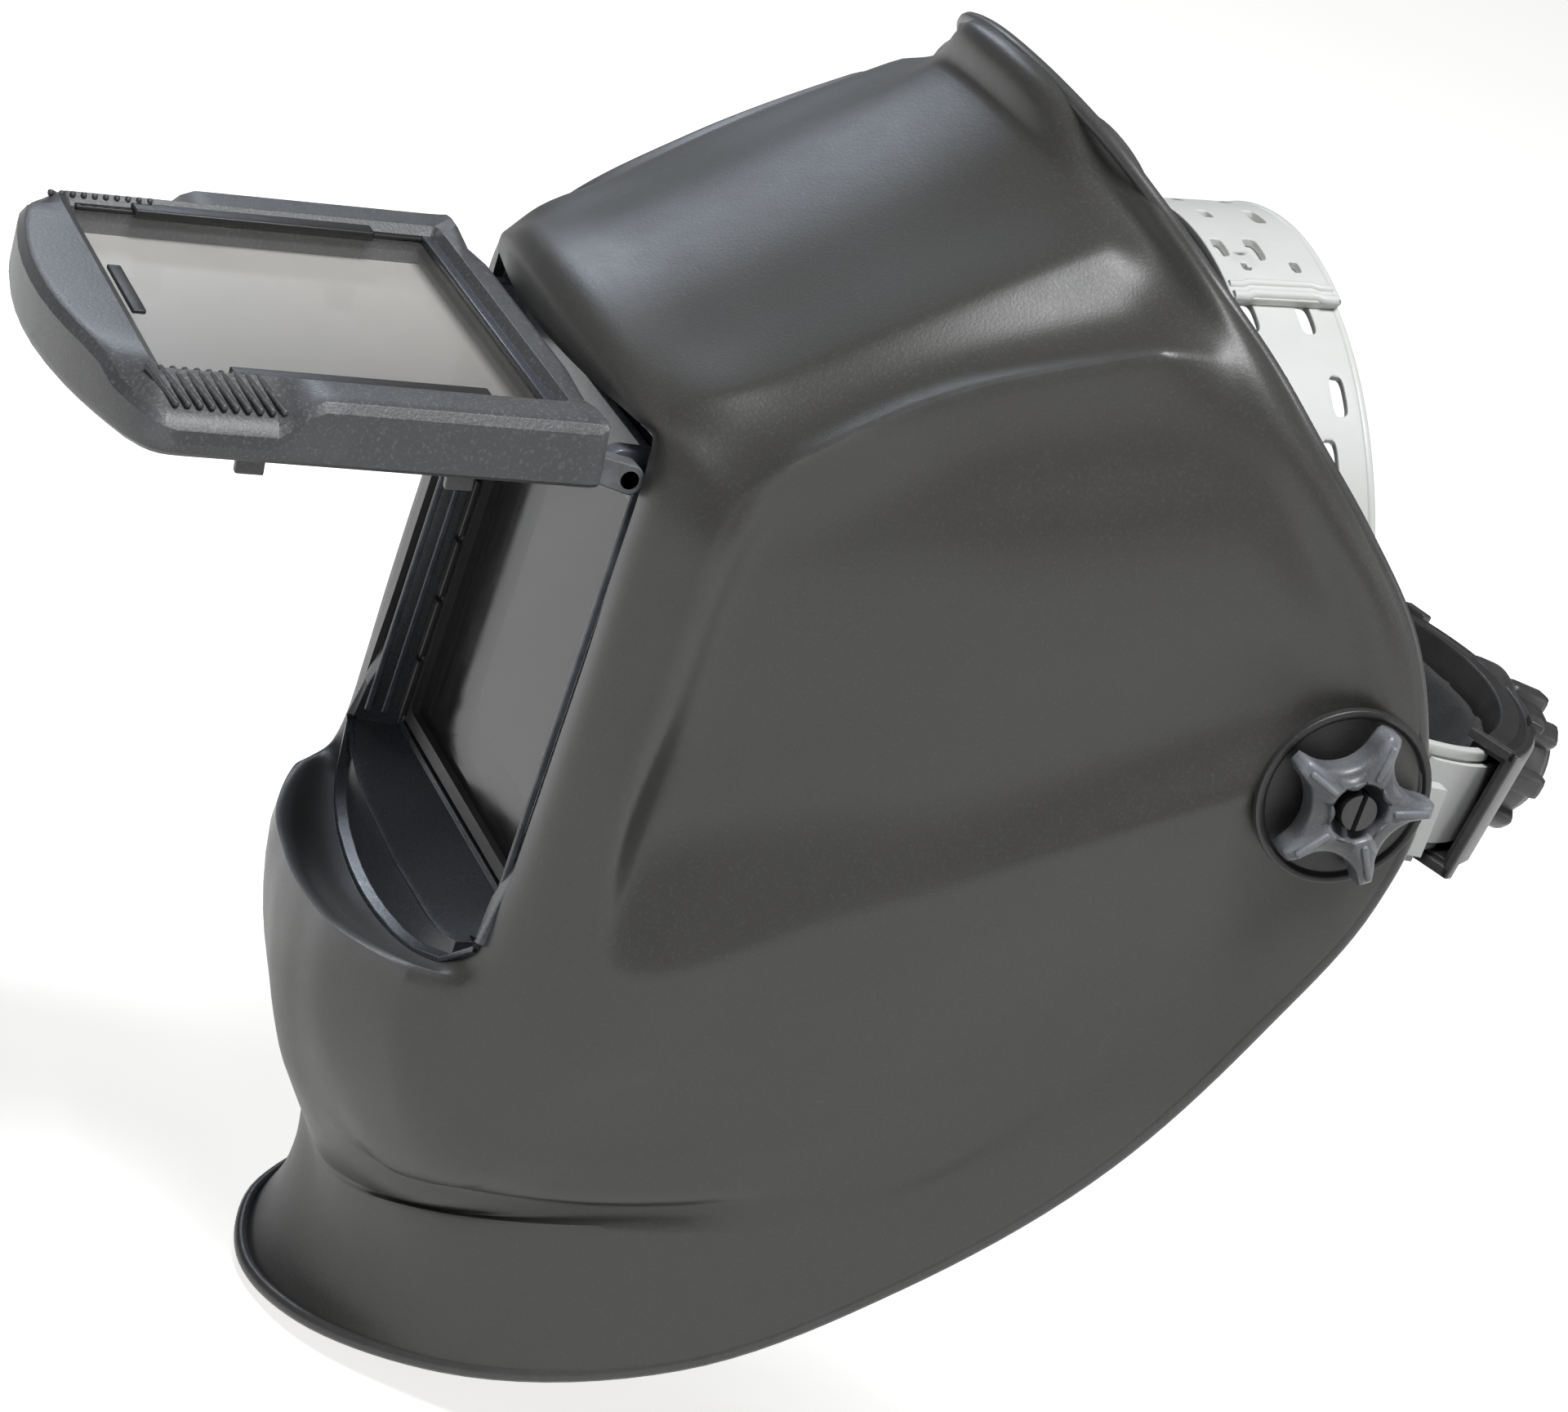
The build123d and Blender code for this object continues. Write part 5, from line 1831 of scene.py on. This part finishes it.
    def _knob(self, finishes: Finishes) -> None:
        """Builds the ratchet knob: waisted body, rounded grip lobes and domed cap."""
        profile = [(4.0, 0.0), (4.0, 5.2), (13.0, 5.4), (15.2, 6.2), (15.6, 7.4), (15.4, 15.6), (14.2, 17.6),
                   (13.0, 18.2), (12.4, 19.6), (10.6, 20.5), (6.0, 20.9), (0.01, 21.0)]
        rings = [[(r * math.cos(math.tau * k / 72), r * math.sin(math.tau * k / 72), z) for k in range(72)]
                 for r, z in profile]
        points, faces = loft(rings, cap_start=True)
        mesh = mesh_from("ratchet_knob", points, faces)
        clean(mesh, 2e-5)
        mesh.transform(self.base.rear_matrix(78.4))
        knob = add_object("ratchet_knob_body", mesh)
        dress(knob, finishes.black, Body.RATCHET, "black_nylon")
        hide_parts("ratchet_knob")
        lobe = rounded_block("lobe", (5.4, 6.2, 11.6), 1.9)
        lobe.transform(Matrix.Translation((0.0156, 0.0, 0.0117)))
        lobes = Repeats.circle("ratchet_knob_lobes", lobe, 8, self.base.rear_matrix(78.4), finishes.black)
        dress(lobes, finishes.black, Body.RATCHET, "black_nylon")


@dataclass
class SoftPad:
    """A padded piece that follows the head oval.

    Attributes:
        name: Name of the piece.
        base: Shared measures of the head oval.
        insets: Outer and inner face, as insets from the oval.
        half: Half height.
        angles: First and last angle.
        swell: Furthest that a point may move, in millimetres.
        fill: Fill for the record of soft pieces; not used.
    """

    name: str
    base: HeadgearFrame
    insets: Tuple[float, float]
    half: float
    angles: Tuple[float, float]
    swell: float = 5.0
    fill: float = 0.55

    def _blank(self) -> bpy.types.Object:
        """Makes the slightly smaller starting shape with pulled-in ends."""
        out, inn = self.insets
        mid, rad = (out + inn) / 2, (inn - out) / 2
        places = spread(self.angles[0], self.angles[1], 90)
        rings = []
        for k, a in enumerate(places):
            t = min(k, len(places) - 1 - k) / 6.0
            end = math.sqrt(max(0.05, 1 - max(0.0, 1 - t) ** 2))
            ring = []
            for j in range(24):
                b = math.tau * j / 24
                c, s = math.cos(b), math.sin(b)
                i = mid + rad * 0.8 * math.copysign(abs(c) ** 0.5, c)
                z = (self.half - 0.8) * end * math.copysign(abs(s) ** 0.35, s)
                ring.append(self.base.on_oval(a, i, z))
            rings.append(ring)
        points, faces = loft(rings, cap_start=True, cap_end=True)
        mesh = mesh_from(self.name, points, faces)
        clean(mesh)
        return add_object(self.name, mesh)

    def _puff(self, pad: bpy.types.Object) -> None:
        """Swells the pad by a short cloth simulation and keeps it within its travel cap."""
        remesh = pad.modifiers.new("voxels", "REMESH")
        remesh.mode = "VOXEL"
        remesh.voxel_size = 0.0024
        remesh.use_smooth_shade = True
        bake_modifiers(pad)
        rest = [v.co.copy() for v in pad.data.vertices]
        work = pad.modifiers.new("air", "CLOTH")
        work.settings.use_pressure = True
        work.settings.uniform_pressure_force = 4.0
        work.settings.effector_weights.gravity = 0.0
        work.settings.tension_stiffness = 20.0
        work.settings.bending_stiffness = 1.5
        work.point_cache.frame_start = 1
        work.point_cache.frame_end = 20
        scene = bpy.context.scene
        for step in range(1, 21):
            scene.frame_set(step)
        bake_modifiers(pad)
        scene.frame_set(1)
        self._hold(pad, rest)

    def _hold(self, pad: bpy.types.Object, rest: List[Vector]) -> None:
        """Caps each point's move and keeps the outer face off the band."""
        limit = self.swell * MM
        out = self.insets[0]
        t = math.radians(self.base.tilt)
        for vertex, start in zip(pad.data.vertices, rest):
            move = vertex.co - start
            if move.length > limit:
                move = move.normalized() * limit
            place = start + move
            y, z = place.y, place.z - self.base.height * MM
            u = y * math.cos(t) - z * math.sin(t) - self.base.centre * MM
            v = y * math.sin(t) + z * math.cos(t)
            long = 1.0
            if u < 0:
                r = self.base.radius - out
                long = (self.base.reach - self.base.radius + r) / r
            size = math.hypot(place.x, u / long)
            top = (self.base.radius - out) * MM
            if size > top:
                scale = top / size
                u *= scale
                place = Vector((place.x * scale, 0, 0))
            v = max(-self.half * MM, min(self.half * MM, v))
            full = u + self.base.centre * MM
            vertex.co = Vector((place.x, full * math.cos(t) + v * math.sin(t),
                                self.base.height * MM - full * math.sin(t) + v * math.cos(t)))
        smooth = pad.modifiers.new("settle", "SMOOTH")
        smooth.factor = 0.5
        smooth.iterations = 2
        bake_modifiers(pad)
        rounder = pad.modifiers.new("round", "SUBSURF")
        rounder.levels = 1
        rounder.render_levels = 1
        bake_modifiers(pad)
        pad.data.shade_smooth()

    def build(self, material: bpy.types.Material, slot: str, node: str) -> bpy.types.Object:
        """Builds and dresses the pad.

        Args:
            material: Its finish.
            slot: The record's material slot.
            node: CAD node that it stands for.

        Returns:
            The pad.
        """
        pad = self._blank()
        self._puff(pad)
        dress(pad, material, Body.HEADGEAR, slot)
        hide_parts(node)
        return pad

    def seam(self, finishes: Finishes, name: str, z: float) -> None:
        """Sews a row of stitches along the pad's inner face at one height."""
        target = bpy.data.objects[self.name]
        tree = BVHTree.FromObject(target, bpy.context.evaluated_depsgraph_get())
        path = []
        first, last = self.angles
        for a in spread(first + 5, last - 5, 120):
            start = Vector(self.base.on_oval(a, self.insets[1] + 8.0, z)) * MM
            onward = (Vector(self.base.on_oval(a, self.insets[0], z)) * MM - start).normalized()
            hit = tree.ray_cast(start, onward)[0]
            if hit is not None:
                path.append(hit)
        stitches = Repeats.stitches(name, path, 0.0036, 0.0026, 0.00035, finishes.strap)
        dress(stitches, finishes.strap, Body.HEADGEAR, "white_plastic")


# ----------------------------------------------------------------------- studio
@dataclass
class Studio:
    """Camera, floor and soft lights.

    Attributes:
        eye: Place of the camera in metres.
        back: Direction from the object to the camera.
        right: The camera's right.
        up: The camera's up; not used.
        lens: Focal length on a 36 mm sensor.
    """

    eye: Point = (0.9312, -0.5136, 0.2937)
    back: Point = (0.8577, -0.4069, 0.3143)
    right: Point = (0.309, 0.8965, 0.3175)
    up: Point = (-0.4109, -0.1752, 0.8947)
    lens: float = 110.34
    floor_z: float = -0.2092

    def camera(self) -> None:
        """Makes the scene's camera."""
        data = bpy.data.cameras.new("camera")
        data.lens = self.lens
        data.sensor_width = 36.0
        data.clip_start = 0.05
        data.clip_end = 20.0
        eye = bpy.data.objects.new("camera", data)
        bpy.context.scene.collection.objects.link(eye)
        z = Vector(self.back).normalized()
        x = Vector(self.right)
        x = (x - z * x.dot(z)).normalized()
        y = z.cross(x)
        eye.matrix_world = Matrix.Translation(Vector(self.eye)) @ Matrix((x, y, z)).transposed().to_4x4()
        bpy.context.scene.camera = eye

    def floor(self) -> None:
        """Lays the plain pale floor."""
        size = 14.0
        mesh = mesh_from("floor", [(-size, -size, self.floor_z), (size, -size, self.floor_z),
                                   (size, size, self.floor_z), (-size, size, self.floor_z)], [(0, 1, 2, 3)], 1.0)
        kit = SurfaceKit("floor_pale")
        tone = kit.noise(3.0, 2.0)
        kit.set(Base_Color=kit.blend(tone, (0.86, 0.86, 0.85), (0.88, 0.88, 0.87)),
                Roughness=(tone * 0.1) + 0.75,
                Emission_Color=(1.0, 0.99, 0.97, 1.0), Emission_Strength=0.75)
        floor = add_object("floor", mesh)
        floor.data.materials.append(kit.material)
        floor.visible_diffuse = False

    def _light(self, name: str, place: Point, aim: Point, size: Tuple[float, float], power: float,
               colour: Rgb) -> None:
        """Adds one soft area light."""
        data = bpy.data.lights.new(name, "AREA")
        data.shape = "RECTANGLE"
        data.size, data.size_y = size
        data.energy = power
        data.color = colour
        lamp = bpy.data.objects.new(name, data)
        bpy.context.scene.collection.objects.link(lamp)
        lamp.location = place
        lamp.rotation_mode = "QUATERNION"
        lamp.rotation_quaternion = (Vector(aim) - Vector(place)).to_track_quat("-Z", "Y")

    def lights(self) -> None:
        """Sets the soft sky and the soft boxes."""
        world = bpy.data.worlds.new("studio")
        bpy.context.scene.world = world
        world.use_nodes = True
        back = world.node_tree.nodes["Background"]
        back.inputs["Color"].default_value = (0.93, 0.96, 1.0, 1.0)
        back.inputs["Strength"].default_value = 0.11
        bpy.context.scene.view_settings.view_transform = "Standard"
        middle = (0.0, -0.06, -0.03)
        self._light("far_box", (-1.45, -0.18, 0.78), middle, (0.34, 0.3), 3.0, (0.78, 0.87, 1.0))
        self._light("top_box", (0.8, -0.25, 1.85), middle, (0.8, 0.8), 46.0, (0.98, 0.99, 1.0))
        self._light("front_box", (1.6, -1.9, 0.5), middle, (1.3, 1.3), 2.5, (1.0, 0.985, 0.96))
        self._light("rear_box", (1.0, 1.9, 0.5), (0.0, 0.05, 0.0), (0.9, 0.9), 8.0, (1.0, 1.0, 1.0))


def main() -> None:
    """Builds the helmet's looks in order."""
    studio = Studio()
    studio.camera()
    finishes = Finishes()
    shell = HelmetShell()
    shell.build()
    shell.dress(finishes)
    WindowInsert().build(finishes)
    FlipFront().build(finishes)
    for side in Side:
        TiltPivot(side).build(finishes)
    base = HeadgearFrame()
    HeadBand(base).build(finishes)
    RatchetAdjuster(base).build(finishes)
    left = CrownStrap(Side.LEFT, 75.6)
    right = CrownStrap(Side.RIGHT, 77.7, end=115.0)
    left.build(finishes, [(38.0, -3.5, 4.6, 1.8), (54.0, -3.5, 4.6, 1.8), (70.0, -3.5, 4.8, 1.8),
                          (85.0, -7.5, 4.8, 1.7), (85.0, 5.5, 4.8, 1.7), (105.0, 9.0, 4.4, 1.7),
                          (105.0, -4.5, 4.4, 1.7)])
    right.build(finishes, [(38.0, -3.5, 4.6, 1.8), (54.0, -3.5, 4.6, 1.8), (70.0, -3.5, 4.8, 1.8),
                           (85.0, -7.5, 4.8, 1.7), (85.0, 5.5, 4.8, 1.7), (105.0, 6.0, 4.4, 1.7),
                           (105.0, -6.0, 4.4, 1.7), (124.0, 6.0, 4.4, 1.7), (124.0, -6.0, 4.4, 1.7),
                           (142.0, 6.0, 2.4, 1.4), (142.0, -6.0, 4.4, 1.7), (160.0, 1.5, 4.4, 1.7),
                           (160.0, 9.8, 3.6, 1.4), (166.5, 6.0, 1.9, 1.1), (166.5, -6.0, 1.9, 1.1)])
    right.cross_rib(finishes, "crown_rib_outer", right.length() - 1.6, 1.8, 1.3)
    right.cross_rib(finishes, "crown_rib_inner", right.length() - 5.2, 1.8, 1.0)
    left.edge_bead(finishes, "crown_edge_left", 2.0, 110.0, -12.6, 1.0, 1.3)
    right.edge_bead(finishes, "crown_edge_right", 2.0, right.length() - 1.0, -12.6, 1.0, 1.3)
    sweat = SoftPad("sweatband_pad", base, (2.95, 8.1), 15.0, (-158.0, -22.0), 5.0, 0.5)
    sweat.build(finishes.cloth, "foam", "sweatband")
    sweat.seam(finishes, "sweatband_stitches_top", 11.5)
    sweat.seam(finishes, "sweatband_stitches_low", -11.5)
    pad = SoftPad("rear_cushion", base, (4.7, 9.3), 14.0, (45.0, 135.0), 5.0, 0.6)
    pad.build(finishes.foam, "foam", "rear_pad")
    studio.floor()
    studio.lights()


if __name__ == "__main__":
    main()
